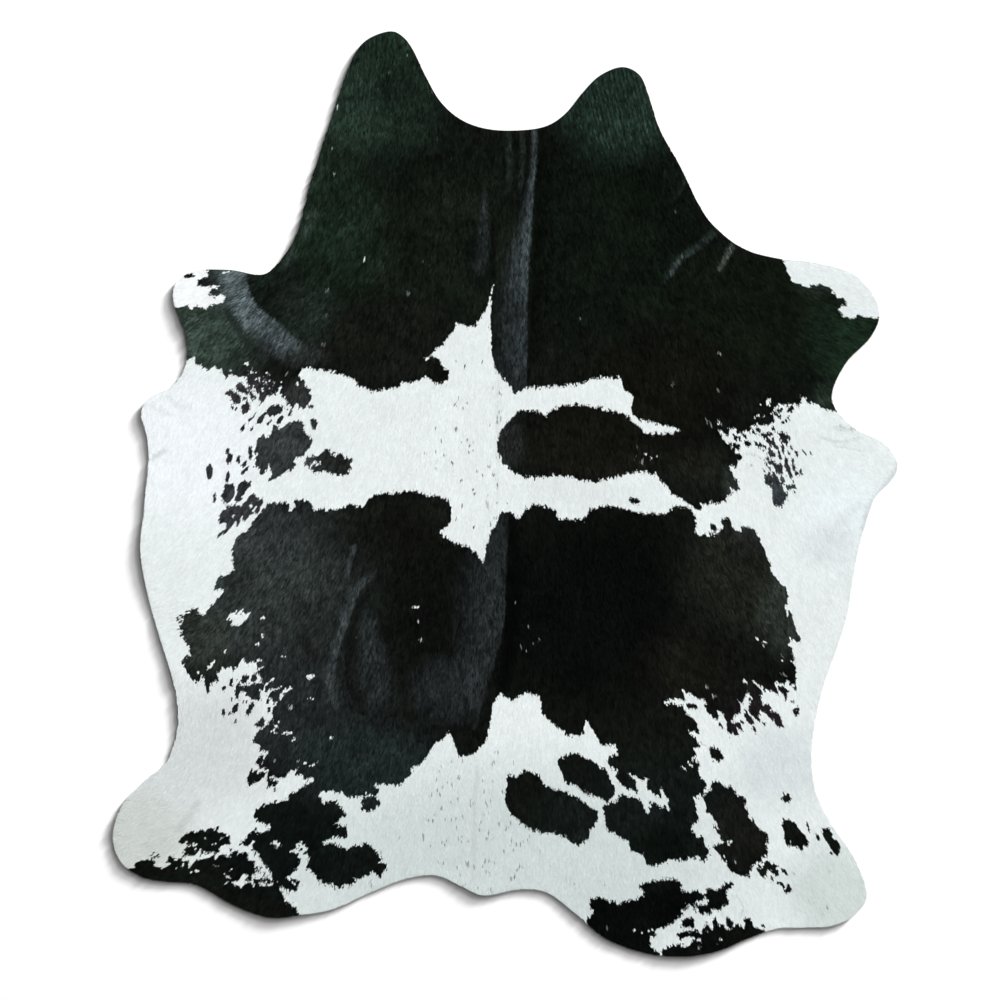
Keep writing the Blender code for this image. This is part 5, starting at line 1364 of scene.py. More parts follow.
class CoatFinish(DyedFinish):
    """Short glossy hair: the dye with painted shade towards the root, and fine strands along each lock."""

    name = "short_hair"
    strands = 5.0  # across a lock
    strand_bump = 0.25
    strand_depth = 0.0003
    strand_shade = (0.86, 1.06)
    strand_roughness = (0.46, 0.62)
    # painted shade at the root, under the hair lying above it
    root_painted_shade = (0.90, 1.0)
    root_reach = 0.45  # of a lock's length
    gloss = 0.11

    def paint(self) -> None:
        """Build the material's nodes."""
        n = self.nodes
        dye = self.dye()
        split = n.add("ShaderNodeSeparateXYZ")
        wave = n.maths("MULTIPLY", self.strands * math.tau)
        ripple = n.maths("SINE")
        shade = n.remap((-1.0, 1.0), self.strand_shade)
        rooted = n.remap((0.0, self.root_reach), self.root_painted_shade)
        both = n.maths("MULTIPLY")
        tone = n.add("ShaderNodeVectorMath", operation="SCALE")
        rough = n.remap((-1.0, 1.0), self.strand_roughness)
        bump = n.add("ShaderNodeBump", {"Strength": self.strand_bump, "Distance": self.strand_depth})
        n.wire(
            (n.attribute("strand"), "Vector", split, 0),
            (split, 0, wave, 0),
            (wave, 0, ripple, 0),
            (ripple, 0, shade, "Value"),
            (split, 1, rooted, "Value"),
            (shade, 0, both, 0),
            (rooted, 0, both, 1),
            (dye, MIX_COLOUR, tone, 0),
            (both, 0, tone, "Scale"),
            (tone, 0, self.shader, "Base Color"),
            (ripple, 0, rough, "Value"),
            (rough, 0, self.shader, "Roughness"),
            (ripple, 0, bump, "Height"),
            (bump, 0, self.shader, "Normal"),
        )
        self.values(Specular_IOR_Level=self.gloss)


class SkinFinish(DyedFinish):
    """The hide itself: dyed undercoat on the hair side, suede on the other and at the cut edge."""

    name = "tanned_skin"
    suede = (0.46, 0.37, 0.27, 1.0)
    suede_dark = (0.36, 0.28, 0.20, 1.0)
    nap_noise = {"Scale": 900.0, "Detail": 3.0, "Roughness": 0.6}
    stain_noise = {"Scale": 7.0, "Detail": 4.0, "Roughness": 0.6}
    nap_share = 0.5
    nap_bump = 0.5
    nap_depth = 0.0004
    nap_roughness = (0.78, 0.95)

    def paint(self) -> None:
        """Build the material's nodes."""
        n = self.nodes
        dye = self.dye()
        place = n.add("ShaderNodeTexCoord")
        nap = n.add("ShaderNodeTexNoise", self.nap_noise)
        stain = n.add("ShaderNodeTexNoise", self.stain_noise)
        mixed = n.maths("MULTIPLY_ADD", self.nap_share)
        leather = n.add("ShaderNodeMix", {MIX_FIRST: self.suede_dark, MIX_SECOND: self.suede},
                        data_type="RGBA")
        colour = n.add("ShaderNodeMix", data_type="RGBA")
        bump = n.add("ShaderNodeBump", {"Strength": self.nap_bump, "Distance": self.nap_depth})
        rough = n.remap((0.0, 1.0), self.nap_roughness)
        n.wire(
            (place, "Object", nap, "Vector"),
            (place, "Object", stain, "Vector"),
            (nap, 0, mixed, 0),
            (stain, 0, mixed, 2),
            (mixed, 0, leather, 0),
            (n.attribute("hair_side"), "Fac", colour, 0),
            (leather, MIX_COLOUR, colour, MIX_FIRST),
            (dye, MIX_COLOUR, colour, MIX_SECOND),
            (colour, MIX_COLOUR, self.shader, "Base Color"),
            (nap, 0, bump, "Height"),
            (bump, 0, self.shader, "Normal"),
            (nap, 0, rough, "Value"),
            (rough, 0, self.shader, "Roughness"),
        )
        self.values(Specular_IOR_Level=0.2, Sheen_Weight=0.1)


class FloorFinish(Finish):
    """A plain pale floor."""

    name = "pale_floor"
    albedo = 0.90

    def paint(self) -> None:
        """Build the material's nodes."""
        pale = (self.albedo, self.albedo, self.albedo, 1.0)
        self.values(Base_Color=pale, Roughness=0.9, Specular_IOR_Level=0.0)


# --------------------------------------------------------------------------------------------- mesh helpers


class Kind(Enum):
    """The kinds of value that a mesh's points hold, with Blender's two names for each."""

    NUMBER = ("FLOAT", "value")
    VECTOR = ("FLOAT_VECTOR", "vector")
    COLOUR = ("FLOAT_COLOR", "color")


def store(mesh: bpy.types.Mesh, name: str, kind: Kind, values: np.ndarray) -> None:
    """Write a value on each point of a mesh.

    Args:
        mesh: The mesh.
        name: The new attribute's name.
        kind: What it holds.
        values: The values, point by point.
    """
    stored, field = kind.value
    mesh.attributes.new(name, stored, "POINT").data.foreach_set(field, values.astype(np.float32).ravel())


def vectors(mesh: bpy.types.Mesh, name: str = "position") -> np.ndarray:
    """Read the vectors that a mesh's points hold.

    Args:
        mesh: The mesh.
        name: The attribute's name, by default that of the points' own places.

    Returns:
        One row for each point.
    """
    layer = mesh.attributes[name].data
    values = np.empty(len(layer) * 3, dtype=np.float32)
    layer.foreach_get("vector", values)
    return values.reshape(-1, 3).astype(float)


def store_dye(mesh: bpy.types.Mesh, pigment: np.ndarray, dark: np.ndarray, pale: np.ndarray) -> None:
    """Write each point's pigment and the two colours that it chooses between.

    Args:
        mesh: The mesh.
        pigment: 1 for black hair and 0 for white.
        dark: The colour of black hair, one row for each point.
        pale: The colour of white hair, one row for each point.
    """
    store(mesh, "pigment", Kind.NUMBER, pigment)
    for name, shade in (("dark_dye", dark), ("pale_dye", pale)):
        store(mesh, name, Kind.COLOUR, np.column_stack((shade, np.ones(len(shade)))))


def store_map(mesh: bpy.types.Mesh, places: np.ndarray) -> None:
    """Write a mesh's texture map.

    Args:
        mesh: The mesh.
        places: The place on the map of each face corner.
    """
    mesh.uv_layers.new(name=UV_MAP).data.foreach_set("uv", places.astype(np.float32).ravel())


def corner_points(mesh: bpy.types.Mesh) -> np.ndarray:
    """Find the places of a mesh's face corners.

    Args:
        mesh: The mesh.

    Returns:
        One row for each corner.
    """
    points = np.empty(len(mesh.loops), dtype=np.int32)
    mesh.loops.foreach_get("vertex_index", points)
    return vectors(mesh)[points]


def add_object(name: str, data: bpy.types.ID) -> bpy.types.Object:
    """Add an object to the scene.

    Args:
        name: Its name.
        data: Its mesh, light or camera.

    Returns:
        The object.
    """
    obj = bpy.data.objects.new(name, data)
    bpy.context.scene.collection.objects.link(obj)
    return obj


# ------------------------------------------------------------------------------------------------- the skin


class Side(Enum):
    """The two faces of the hide, with the way each looks."""

    HAIR = 1.0
    SUEDE = -1.0


@dataclass
class PackedSheet:
    """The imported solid, read for its outline and for the height of both of its faces."""

    node: bpy.types.Object
    merge_within: float = 1e-5
    top_slope: float = 0.5  # the least upward part of a normal on the upper face
    ray_height: float = 1.0
    near_height: float = 0.004  # from where a ray that misses looks for the nearest face

    def __post_init__(self) -> None:
        """Read the solid."""
        work = bmesh.new()
        work.from_mesh(self.node.data)
        bmesh.ops.remove_doubles(work, verts=work.verts, dist=self.merge_within)
        work.normal_update()
        self.tree = BVHTree.FromBMesh(work)
        self.rim = self._rim(work)
        work.free()

    def _rim(self, work: bmesh.types.BMesh) -> np.ndarray:
        """Find the outline of the upper face.

        Args:
            work: The solid with its corners joined.

        Returns:
            One closed run of (x, y) rows.
        """
        following = {}
        for face in work.faces:
            if face.normal.z < self.top_slope:
                continue
            for loop in face.loops:
                if loop.link_loop_radial_next.face.normal.z < self.top_slope:
                    following[loop.vert] = loop.link_loop_next.vert
        run = [next(iter(following))]
        while following[run[-1]] != run[0]:
            run.append(following[run[-1]])
        return np.array([(vertex.co.x, vertex.co.y) for vertex in run])

    def heights(self, places: np.ndarray, side: Side) -> np.ndarray:
        """Measure the solid's height.

        Args:
            places: (x, y) rows.
            side: The face to measure.

        Returns:
            One height for each place.
        """
        way = Vector((0.0, 0.0, -side.value))
        found = np.empty(len(places))
        for index, (x, y) in enumerate(places):
            hit = self.tree.ray_cast(Vector((x, y, self.ray_height * side.value)), way)[0]
            if hit is None:
                hit = self.tree.find_nearest(Vector((x, y, self.near_height * side.value)))[0]
            found[index] = hit.z
        return found


def refined(loop: np.ndarray, near: float = 9.0) -> np.ndarray:
    """Place a point smoothly between each two of a closed loop.

    Args:
        loop: The loop's points in order.
        near: How many times more the two points beside a new one count than the next two.

    Returns:
        The finer loop's points in order.
    """
    before, after, further = (np.roll(loop, -k, axis=0) for k in (-1, 1, 2))
    between = (near * (loop + after) - before - further) / (2.0 * near - 2.0)
    return np.stack((loop, between), axis=1).reshape(-1, 2)


def signed_area(outline: np.ndarray) -> float:
    """Return twice an outline's area: positive where it runs anticlockwise as seen from above."""
    x, y = outline.T
    return float((x * np.roll(y, -1) - np.roll(x, -1) * y).sum())


def rim_distance(points: np.ndarray, rim: np.ndarray, reach: float, chunk: int = 2000) -> np.ndarray:
    """Measure how far points lie from the closed rim.

    Args:
        points: (x, y) rows.
        rim: The rim's points in order.
        reach: How far the distances have to be exact. Beyond it they only have to be larger than it.
        chunk: How many points are worked on at a time.

    Returns:
        One distance for each point.
    """
    tree = KDTree(len(rim))
    for index, (x, y) in enumerate(rim):
        tree.insert((x, y, 0.0), index)
    tree.balance()
    gaps = np.array([tree.find((x, y, 0.0))[2] for x, y in points])
    sides = np.roll(rim, -1, axis=0) - rim
    near = np.flatnonzero(gaps < reach + np.linalg.norm(sides, axis=1).max())
    lengths = (sides ** 2).sum(axis=1)
    for part in np.array_split(near, max(1, len(near) // chunk)):
        offset = points[part][:, None, :] - rim[None, :, :]
        t = np.clip((offset * sides).sum(axis=2) / lengths, 0.0, 1.0)
        gaps[part] = np.linalg.norm(offset - sides * t[..., None], axis=2).min(axis=1)
    return gaps


@dataclass
class SheetFace:
    """One face of the skin: an even triangulation inside the rim, with smooth heights."""

    rim: np.ndarray
    spacing: float
    row_step: float = 3.0 ** 0.5 / 2.0  # of the spacing
    rim_margin: float = 0.7  # of the spacing
    ease: float = 0.5
    inside_only: int = 1  # the kind of triangulation that keeps to the rim
    snap: float = 1e-7

    def __post_init__(self) -> None:
        """Fill the rim with triangles that run anticlockwise as seen from above."""
        places = np.vstack((self.rim, self._grid()))
        count = len(self.rim)
        edges = [(k, (k + 1) % count) for k in range(count)]
        points = [Vector(place) for place in places]
        vertices, _, faces, *_ = delaunay_2d_cdt(points, edges, [], self.inside_only, self.snap)
        if len(vertices) != len(places):
            raise ValueError("the rim crosses itself")
        self.places = np.array([(v.x, v.y) for v in vertices])
        self.faces = np.array(faces)
        if signed_area(self.places[self.faces[0]]) < 0.0:
            self.faces = self.faces[:, ::-1]

    def _grid(self) -> np.ndarray:
        """Lay staggered points inside the rim, clear of it.

        Returns:
            (x, y) rows.
        """
        spacing = self.spacing
        low = self.rim.min(axis=0)
        high = self.rim.max(axis=0)
        rows = []
        for row, y in enumerate(np.arange(low[1], high[1], spacing * self.row_step)):
            x = np.arange(low[0] + spacing / 2.0 * (row % 2), high[0], spacing)
            rows.append(np.column_stack((x, np.full(len(x), y))))
        grid = np.vstack(rows)
        grid = grid[inside(grid, self.rim)]
        return grid[rim_distance(grid, self.rim, spacing) > spacing * self.rim_margin]

    def smooth(self, heights: np.ndarray, rounds: int) -> np.ndarray:
        """Ease each height towards its neighbours.

        Args:
            heights: One height for each of the face's places.
            rounds: How often to do it.

        Returns:
            The new heights.
        """
        pairs = np.vstack([self.faces[:, (k, (k + 1) % 3)] for k in range(3)])
        both = np.vstack((pairs, pairs[:, ::-1]))
        count = np.bincount(both[:, 0], minlength=len(heights))
        for _ in range(rounds):
            mean = np.bincount(both[:, 0], weights=heights[both[:, 1]], minlength=len(heights)) / count
            heights = heights + (mean - heights) * self.ease
        return heights


@dataclass
class Skin:
    """The hide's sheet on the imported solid's folds, dyed on its hair side and suede on the other."""

    node: bpy.types.Object
    dye: Dye
    finish: SkinFinish
    name: str = "hide_skin"
    spacing: float = 0.0080
    under_spacing: float = 0.024
    hair_depth: float = 0.0016  # how much of the solid's thickness the lying hair takes
    thinnest: float = 0.0014
    smooth_rounds: int = 7
    under_rounds: int = 1

    def __post_init__(self) -> None:
        """Build the sheet and dress it."""
        packed = PackedSheet(self.node)
        self.rim = refined(packed.rim)
        self.top = SheetFace(self.rim, self.spacing)
        self.under = SheetFace(self.rim, self.under_spacing)
        self.top_places = self._raised(packed)
        self.obj = self._join(packed)
        self.obj.data.materials.append(self.finish.material)
        self._paint()
        self._map()
        self.obj.data.shade_smooth()

    def _raised(self, packed: PackedSheet) -> np.ndarray:
        """Raise the hair side to the solid's folds, with the fine creases and the rim's lifts.

        Args:
            packed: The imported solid.

        Returns:
            The hair side's vertices.
        """
        face = self.top
        heights = face.smooth(packed.heights(face.places, Side.HAIR) - self.hair_depth, self.smooth_rounds)
        heights += lift(CREASES, face.places)
        under = face.smooth(packed.heights(face.places, Side.SUEDE), self.smooth_rounds)
        heights = np.maximum(heights, under + self.thinnest) + lift(EDGE_LIFTS, face.places)
        return np.column_stack((face.places, np.maximum(heights, self.thinnest)))

    def _join(self, packed: PackedSheet) -> bpy.types.Object:
        """Close the sheet: hair side, suede side and the cut edge between them.

        Args:
            packed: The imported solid.

        Returns:
            The sheet's object.
        """
        offset = len(self.top_places)
        heights = self.under.smooth(packed.heights(self.under.places, Side.SUEDE), self.under_rounds)
        heights += lift(EDGE_LIFTS, self.under.places)
        below = np.column_stack((self.under.places, np.maximum(heights, 0.0)))
        rim = np.arange(len(self.rim))
        following = np.roll(rim, -1)
        cut = np.vstack((
            np.column_stack((rim, rim + offset, following + offset)),
            np.column_stack((rim, following + offset, following)),
        ))
        if signed_area(self.rim) >= 0.0:
            cut = cut[:, ::-1]
        faces = np.vstack((self.top.faces, self.under.faces[:, ::-1] + offset, cut))
        mesh = bpy.data.meshes.new(self.name)
        mesh.from_pydata(np.vstack((self.top_places, below)).tolist(), [], faces.tolist())
        mesh.validate()
        return add_object(self.name, mesh)

    def _paint(self) -> None:
        """Dye the hair side, with its painted sheen and shade, and mark it for the material."""
        mesh = self.obj.data
        chart = Chart.places(vectors(mesh))
        tuft, carried = self.dye.clumps(chart)
        store_dye(mesh, self.dye.pigment(chart, carried), *self.dye.shades(chart, tuft))
        store(mesh, "hair_side", Kind.NUMBER, np.arange(len(chart)) < len(self.top_places))

    def _map(self) -> None:
        """Lay the hair side out in one half of the texture map and the rest in the other."""
        mesh = self.obj.data
        x, y, _ = corner_points(mesh).T
        lower = np.arange(len(x)) >= self.top.faces.size
        across = (x / SKIN_FLAT[0] + 0.5) * (MAP_SPAN / 2.0 - MAP_MARGIN) + MAP_MARGIN
        down = (y / SKIN_FLAT[1] + 0.5) * MAP_SPAN + MAP_MARGIN
        store_map(mesh, np.column_stack((across + np.where(lower, 0.5, 0.0), down)))


# ------------------------------------------------------------------------------------------------- the coat


@dataclass(frozen=True)
class LockShape:
    """One lock of hair, as a narrow blade that bends and comes to a point."""

    width: float = 0.0031
    length: float = 0.0145
    bend_at: float = 0.58  # of the length
    bend_height: float = 0.0009
    tip_height: float = 0.0008
    root_depth: float = 0.0004
    waist: float = 0.5  # half the bend's width, as a share of the root's

    def build(self) -> bpy.types.Object:
        """Build the lock.

        Returns:
            Its own object, out of sight.
        """
        half = self.width / 2.0
        waist = self.width * self.waist
        corners = (
            (-half, 0.0, -self.root_depth),
            (half, 0.0, -self.root_depth),
            (waist, self.length * self.bend_at, self.bend_height),
            (-waist, self.length * self.bend_at, self.bend_height),
            (0.0, self.length, self.tip_height),
        )
        mesh = bpy.data.meshes.new("lock")
        mesh.from_pydata(corners, [], [(0, 1, 2, 3), (3, 2, 4)])
        strand = np.array([(x / self.width + 0.5, y / self.length, 0.0) for x, y, _ in corners])
        store(mesh, "strand", Kind.VECTOR, strand)
        mesh.shade_smooth()
        lock = add_object("lock", mesh)
        lock.hide_render = True
        lock.hide_viewport = True
        return lock


@dataclass(frozen=True)
class Growth:
    """How the locks stand: their number, and how unevenly they lie."""

    per_square_metre: float = 101000.0
    spacing: float = 0.0022
    shortest: float = 0.72  # of a lock's own length
    longest: float = 1.25
    lift_low: float = math.radians(2.0)
    lift_high: float = math.radians(9.0)
    yaw: float = math.radians(13.0)
    roll: float = math.radians(12.0)


@dataclass
class Grower:
    """Geometry Nodes that scatter locks over a mesh along its hair direction."""

    growth: Growth
    lock: bpy.types.Object
    finish: CoatFinish

    def __post_init__(self) -> None:
        """Make the node tree."""
        self.tree = bpy.data.node_groups.new("grow_locks", "GeometryNodeTree")
        self._sockets()
        self._build()

    def _sockets(self) -> None:
        """Give the tree its named inputs and its output."""
        face = self.tree.interface
        inputs = {
            "Skin": "Geometry", "Lock": "Object", "Locks per area": "Float", "Spacing": "Float", "Seed": "Int",
            "Shortest": "Float", "Longest": "Float", "Lowest turn": "Vector", "Highest turn": "Vector",
            "Finish": "Material",
        }
        for name, kind in inputs.items():
            face.new_socket(name, in_out="INPUT", socket_type="NodeSocket" + kind)
        face.new_socket("Coat", in_out="OUTPUT", socket_type="NodeSocketGeometry")

    def _build(self) -> None:
        """Wire the tree."""
        n = NodeTree(self.tree)
        given = n.add("NodeGroupInput")
        result = n.add("NodeGroupOutput")
        spread = n.add("GeometryNodeDistributePointsOnFaces", distribute_method="POISSON")
        way = n.add("GeometryNodeInputNamedAttribute", {"Name": "flow"}, data_type="FLOAT_VECTOR")
        upright = n.add("FunctionNodeAlignRotationToVector", axis="Z", pivot_axis="AUTO")
        combed = n.add("FunctionNodeAlignRotationToVector", axis="Y", pivot_axis="Z")
        turn = n.add("FunctionNodeRandomValue", data_type="FLOAT_VECTOR")
        euler = n.add("FunctionNodeEulerToRotation")
        laid = n.add("FunctionNodeRotateRotation", rotation_space="LOCAL")
        length = n.add("FunctionNodeRandomValue", data_type="FLOAT")
        scale = n.add("ShaderNodeCombineXYZ", {"X": 1.0, "Z": 1.0})
        lock = n.add("GeometryNodeObjectInfo", {"As Instance": True})
        place = n.add("GeometryNodeInputPosition")
        plant = n.add("GeometryNodeInstanceOnPoints")
        mark = n.add("GeometryNodeStoreNamedAttribute", {"Name": "root"}, data_type="FLOAT_VECTOR",
                     domain="INSTANCE")
        real = n.add("GeometryNodeRealizeInstances")
        dress = n.add("GeometryNodeSetMaterial")
        n.wire(
            (given, "Skin", spread, "Mesh"),
            (given, "Spacing", spread, "Distance Min"),
            (given, "Locks per area", spread, "Density Max"),
            (given, "Seed", spread, "Seed"),
            (given, "Seed", turn, "Seed"),
            (given, "Seed", length, "Seed"),
            (given, "Lowest turn", turn, RANDOM_VECTOR[0]),
            (given, "Highest turn", turn, RANDOM_VECTOR[1]),
            (given, "Shortest", length, RANDOM_NUMBER[0]),
            (given, "Longest", length, RANDOM_NUMBER[1]),
            (given, "Lock", lock, "Object"),
            (given, "Finish", dress, "Material"),
            (spread, "Normal", upright, "Vector"),
            (upright, 0, combed, "Rotation"),
            (way, 0, combed, "Vector"),
            (turn, 0, euler, 0),
            (combed, 0, laid, 0),
            (euler, 0, laid, 1),
            (length, RANDOM_NUMBER_OUT, scale, "Y"),
            (spread, "Points", plant, "Points"),
            (lock, "Geometry", plant, "Instance"),
            (laid, 0, plant, "Rotation"),
            (scale, 0, plant, "Scale"),
            (plant, 0, mark, "Geometry"),
            (place, 0, mark, "Value"),
            (mark, 0, real, 0),
            (real, 0, dress, 0),
            (dress, 0, result, 0),
        )

    def grow(self, base: bpy.types.Object, name: str, seed: int) -> bpy.types.Mesh:
        """Grow the locks of one region.

        Args:
            base: The region's part of the hair side.
            name: The new mesh's name.
            seed: The region's own seed.

        Returns:
            The locks as a plain mesh.
        """
        growth = self.growth
        grown = base.modifiers.new("coat", "NODES")
        grown.node_group = self.tree
        wanted = {
            "Lock": self.lock,
            "Locks per area": growth.per_square_metre,
            "Spacing": growth.spacing,
            "Seed": seed,
            "Shortest": growth.shortest,
            "Longest": growth.longest,
            "Lowest turn": (growth.lift_low, -growth.roll, -growth.yaw),
            "Highest turn": (growth.lift_high, growth.roll, growth.yaw),
            "Finish": self.finish.material,
        }
        for item in self.tree.interface.items_tree:
            if item.in_out == "INPUT" and item.name in wanted:
                grown[item.identifier] = wanted[item.name]
        base.update_tag()
        graph = bpy.context.evaluated_depsgraph_get()
        mesh = bpy.data.meshes.new_from_object(base.evaluated_get(graph), depsgraph=graph)
        mesh.name = name
        return mesh


@dataclass(frozen=True)
class Region:
    """A part of the coat that is a piece of its own: its chart box."""

    name: str
    low: Pair
    high: Pair
    seed: int


REGIONS = (
    Region("coat_neck", (0, 0), (1000, 320), 11),
    Region("coat_left_fore", (0, 320), (500, 620), 12),
    Region("coat_right_fore", (500, 320), (1000, 620), 13),
    Region("coat_left_hind", (0, 620), (500, 1000), 14),
    Region("coat_right_hind", (500, 620), (1000, 1000), 15),
)


@dataclass
class Coat:
    """All the locks on the hair side, region by region."""

    skin: Skin
    dye: Dye
    grower: Grower
    overhang: float = 0.0022  # the most that hair reaches past the cut edge
    trim_zone: float = 0.020
    trimmed_least: float = 0.12  # of a lock's length that stays
    tiny: float = 1e-6
    corners_per_lock: int = 5
    rows: tuple[tuple[int, int], ...] = ((0, 1), (2, 3), (4, 4))  # a lock's corners at root, bend and tip
    uneven_dark: float = 0.60
    uneven_pale: float = 0.060

    def __post_init__(self) -> None:
        """Grow every region."""
        self.pieces = [self._region(region) for region in REGIONS]

    def _base(self, region: Region) -> bpy.types.Object:
        """Cut out a region's faces of the hair side, with the hair direction on each vertex.

        Args:
            region: The region.

        Returns:
            The faces' own object.
        """
        faces = self.skin.top.faces
        places = self.skin.top_places
        chart = Chart.places(places)
        middle = chart[faces].mean(axis=1)
        own = faces[((middle >= region.low) & (middle < region.high)).all(axis=1)]
        used, corners = np.unique(own, return_inverse=True)
        mesh = bpy.data.meshes.new(region.name + "_base")
        mesh.from_pydata(places[used].tolist(), [], corners.reshape(-1, 3).tolist())
        way = self.dye.flow.at(chart[used]) * (1.0, -1.0)
        store(mesh, "flow", Kind.VECTOR, np.column_stack((way, np.zeros(len(way)))))
        mesh.shade_smooth()
        return add_object(mesh.name, mesh)

    def _past_rim(self, points: np.ndarray) -> np.ndarray:
        """Return how far each point lies outside the cut edge, negative inside it."""
        gaps = rim_distance(points, self.skin.rim, self.trim_zone)
        return np.where(inside(points, self.skin.rim), -gaps, gaps)

    def _trim(self, locks: np.ndarray, roots: np.ndarray) -> np.ndarray:
        """Shorten the locks that would reach too far past the cut edge.

        Args:
            locks: The corners of each lock.
            roots: The place that each lock grows from.

        Returns:
            The locks' new corners.
        """
        held = self._past_rim(roots[:, :2])
        near = np.flatnonzero(held > -self.trim_zone)
        past = self._past_rim(locks[near, -1, :2])
        excess = past > self.overhang
        share = np.ones(len(near))
        reach = np.maximum(past - held[near], self.tiny)
        wanted = (self.overhang - held[near]) / reach
        share[excess] = np.clip(wanted[excess], self.trimmed_least, 1.0)
        trimmed = locks.copy()
        origin = roots[near][:, None, :]
        trimmed[near] = origin + (locks[near] - origin) * share[:, None, None]
        return trimmed

    def _region(self, region: Region) -> bpy.types.Object:
        """Grow, trim, dye and map one region's locks.

        Args:
            region: The region.

        Returns:
            The region's piece.
        """
        base = self._base(region)
        mesh = self.grower.grow(base, region.name, region.seed)
        bpy.data.objects.remove(base)
        roots = vectors(mesh, "root")[::self.corners_per_lock]
        locks = self._trim(vectors(mesh).reshape(-1, self.corners_per_lock, 3), roots)
        mesh.vertices.foreach_set("co", locks.astype(np.float32).ravel())
        mesh.update()
        self._paint(mesh, locks, region.seed)
        flat = corner_points(mesh)[:, :2]
        low = flat.min(axis=0)
        store_map(mesh, (flat - low) / (flat.max(axis=0) - low).max() * MAP_SPAN + MAP_MARGIN)
        for name in ("root", "flow"):
            if name in mesh.attributes:
                mesh.attributes.remove(mesh.attributes[name])
        return add_object(region.name, mesh)

    def _paint(self, mesh: bpy.types.Mesh, locks: np.ndarray, seed: int) -> None:
        """Dye a region's locks: the pigment row by row, and one pair of colours with painted sheen and shade
        for each lock.

        Args:
            mesh: The region's mesh.
            locks: The corners of each lock.
            seed: The region's own seed.
        """
        middle = Chart.places(locks[:, self.rows[1]].mean(axis=1))
        tuft, carried = self.dye.clumps(middle)
        pigment = np.empty(locks.shape[:2])
        for row in self.rows:
            pigment[:, row] = self.dye.pigment(Chart.places(locks[:, row].mean(axis=1)), carried)[:, None]
        chance = around(np.random.default_rng(seed).random(len(locks)))[:, None]
        shades = []
        for shade, uneven in zip(self.dye.shades(middle, tuft), (self.uneven_dark, self.uneven_pale)):
            varied = np.clip(shade * (1.0 + uneven * chance), 0.0, 1.0)
            shades.append(np.repeat(varied, self.corners_per_lock, axis=0))
        store_dye(mesh, pigment.ravel(), *shades)


# ------------------------------------------------------------------------------------------ stage and camera


@dataclass(frozen=True)
class Lamp:
    """An area light that faces the middle of the rug: its place, size and power, and what it shows in."""

    name: str
    place: Triple
    size: Pair
    power: float
    matt: bool = True
    gloss: bool = True

    def build(self, lit: list[bpy.types.Object]) -> None:
        """Add the light.

        Args:
            lit: The only objects that it lights.
        """
        data = bpy.data.lights.new(self.name, "AREA")
        data.shape = "RECTANGLE"
        data.size, data.size_y = self.size
        data.energy = self.power
        lamp = add_object(self.name, data)
        lamp.location = self.place
        lamp.rotation_euler = (-Vector(self.place)).to_track_quat("-Z", "Y").to_euler()
        lamp.visible_camera = False
        lamp.visible_diffuse = self.matt
        lamp.visible_glossy = self.gloss
        group = bpy.data.collections.new(self.name + "_lit")
        for obj in lit:
            group.objects.link(obj)
        lamp.light_linking.receiver_collection = group


@dataclass(frozen=True)
class SkyStrip:
    """A far, low source of light for the floor alone."""

    name: str
    lowest: float  # its elevation in degrees
    highest: float
    share: float  # of the floor's light
    azimuth: float = math.radians(45.0)
    distance: float = 40.0
    level: float = 1.10  # brightness of the open floor, with 1 as white

    def lamp(self) -> Lamp:
        """Work out the area light that fills the strip.

        Returns:
            The light.
        """
        middle = math.radians((self.lowest + self.highest) / 2.0)
        reach = self.distance / math.cos(middle)
        size = 2.0 * reach * math.tan(math.radians((self.highest - self.lowest) / 2.0))
        flat = (self.distance * math.cos(self.azimuth), self.distance * math.sin(self.azimuth))
        power = self.share * self.level * (math.pi * reach) ** 2 / (FloorFinish.albedo * math.sin(middle))
        return Lamp(self.name, (*flat, self.distance * math.tan(middle)), (size, size), power)


FLOOR_LAMPS = (
    SkyStrip("window_low", 10.4, 18.1, 0.45).lamp(),
    SkyStrip("window_middle", 18.1, 33.7, 0.33).lamp(),
    SkyStrip("window_high", 33.7, 60.0, 0.12).lamp(),
    SkyStrip("skylight", 60.0, 80.0, 0.08).lamp(),
)
HIDE_LAMPS = (
    Lamp("soft_box", (0.0, 0.4, 6.0), (7.0, 7.0), 524.0, gloss=False),
    Lamp("side_window", (6.8, 5.2, 4.8), (4.4, 4.4), 225.0, gloss=False),
    Lamp("sheen_left", (-6.0, 1.0, 5.0), (3.0, 6.0), 150.0, matt=False),
)


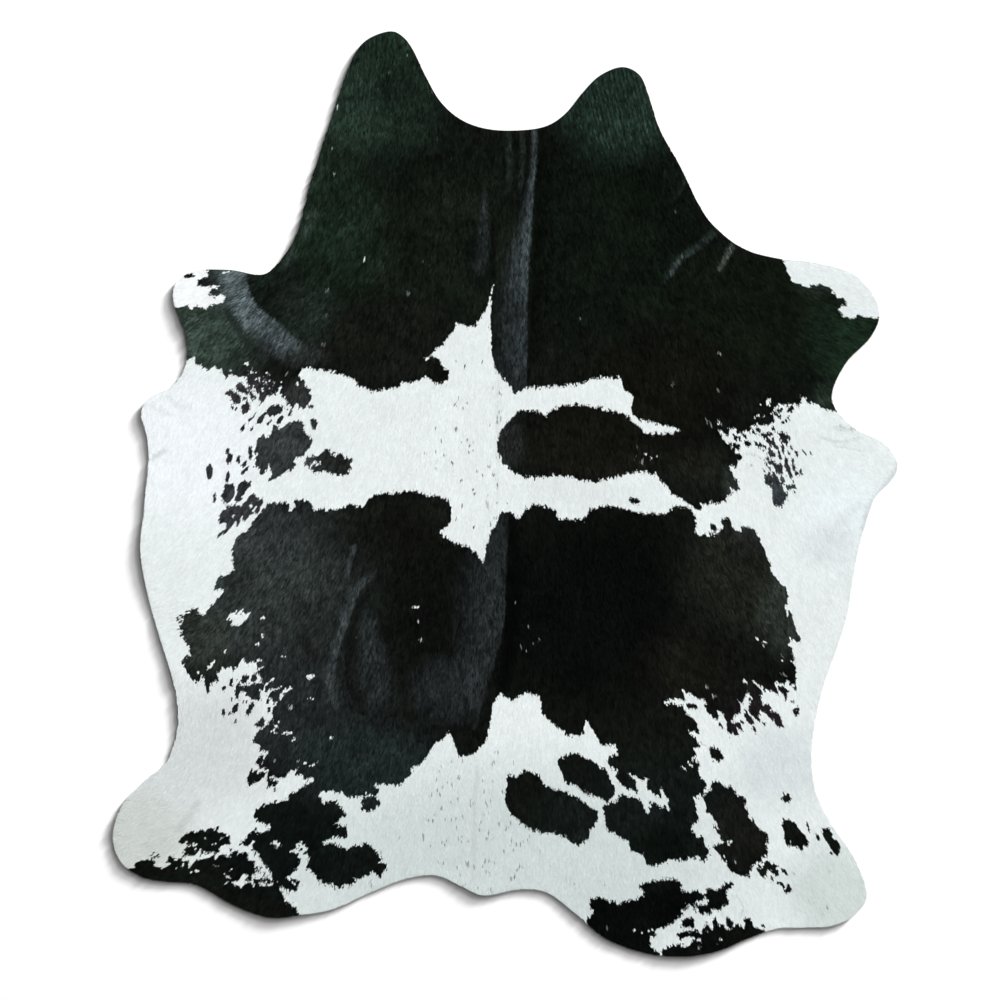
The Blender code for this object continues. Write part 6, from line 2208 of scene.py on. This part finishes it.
@dataclass
class Studio:
    """The floor, the lights, the surroundings and the camera."""

    floor_size: float = 60.0
    floor_level: float = -0.0005
    world_strength: float = 0.05
    lens: float = 100.0
    sensor: float = 36.0
    view_centre: Pair = (500.0, 500.0)  # on the chart
    view_width: float = 1000.0  # on the chart

    def __post_init__(self) -> None:
        """Set up all but the lights, which need the rug."""
        self._look()
        self.floor = self._floor()
        self._camera()

    def _look(self) -> None:
        """Set the colour treatment and the surroundings."""
        scene = bpy.context.scene
        scene.view_settings.view_transform = "Standard"
        scene.view_settings.look = "None"
        world = bpy.data.worlds.new("pale_room")
        world.use_nodes = True
        sky = world.node_tree.nodes["Background"]
        sky.inputs["Color"].default_value = (1.0, 1.0, 1.0, 1.0)
        sky.inputs["Strength"].default_value = self.world_strength
        scene.world = world

    def _floor(self) -> bpy.types.Object:
        """Lay a wide plain floor.

        Returns:
            The floor's object.
        """
        half = self.floor_size / 2.0
        mesh = bpy.data.meshes.new("floor")
        corners = [(-half, -half, 0), (half, -half, 0), (half, half, 0), (-half, half, 0)]
        mesh.from_pydata(corners, [], [(0, 1, 2, 3)])
        mesh.materials.append(FloorFinish().material)
        floor = add_object("floor", mesh)
        floor.location.z = self.floor_level
        return floor

    def _camera(self) -> None:
        """Look straight down on the middle of the view."""
        data = bpy.data.cameras.new("overhead")
        data.lens = self.lens
        data.sensor_width = self.sensor
        camera = add_object("overhead", data)
        height = self.view_width * Chart.unit * self.lens / self.sensor
        camera.location = (*Chart.metres(self.view_centre), height)
        bpy.context.scene.camera = camera

    def light(self, pieces: list[bpy.types.Object]) -> None:
        """Light the floor and the rug.

        Args:
            pieces: The rug's pieces.
        """
        for lamp in FLOOR_LAMPS:
            lamp.build([self.floor])
        for lamp in HIDE_LAMPS:
            lamp.build(pieces)


# ------------------------------------------------------------------------------------------------- the scene


def main() -> None:
    """Build the rug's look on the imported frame."""
    logging.basicConfig(level=logging.INFO, format="%(message)s")
    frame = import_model()
    studio = Studio()
    dye = Dye(HairFlow())
    skin = Skin(frame["nodes"][HIDE_NODE], dye, SkinFinish())
    lock = LockShape().build()
    coat = Coat(skin, dye, Grower(Growth(), lock, CoatFinish()))
    bpy.data.objects.remove(lock)
    pieces = [skin.obj, *coat.pieces]
    studio.light(pieces)
    for piece in pieces:
        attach(piece, "root")
        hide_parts(HIDE_NODE)
        log.info("%s: %d faces", piece.name, len(piece.data.polygons))


if __name__ == "__main__":
    main()
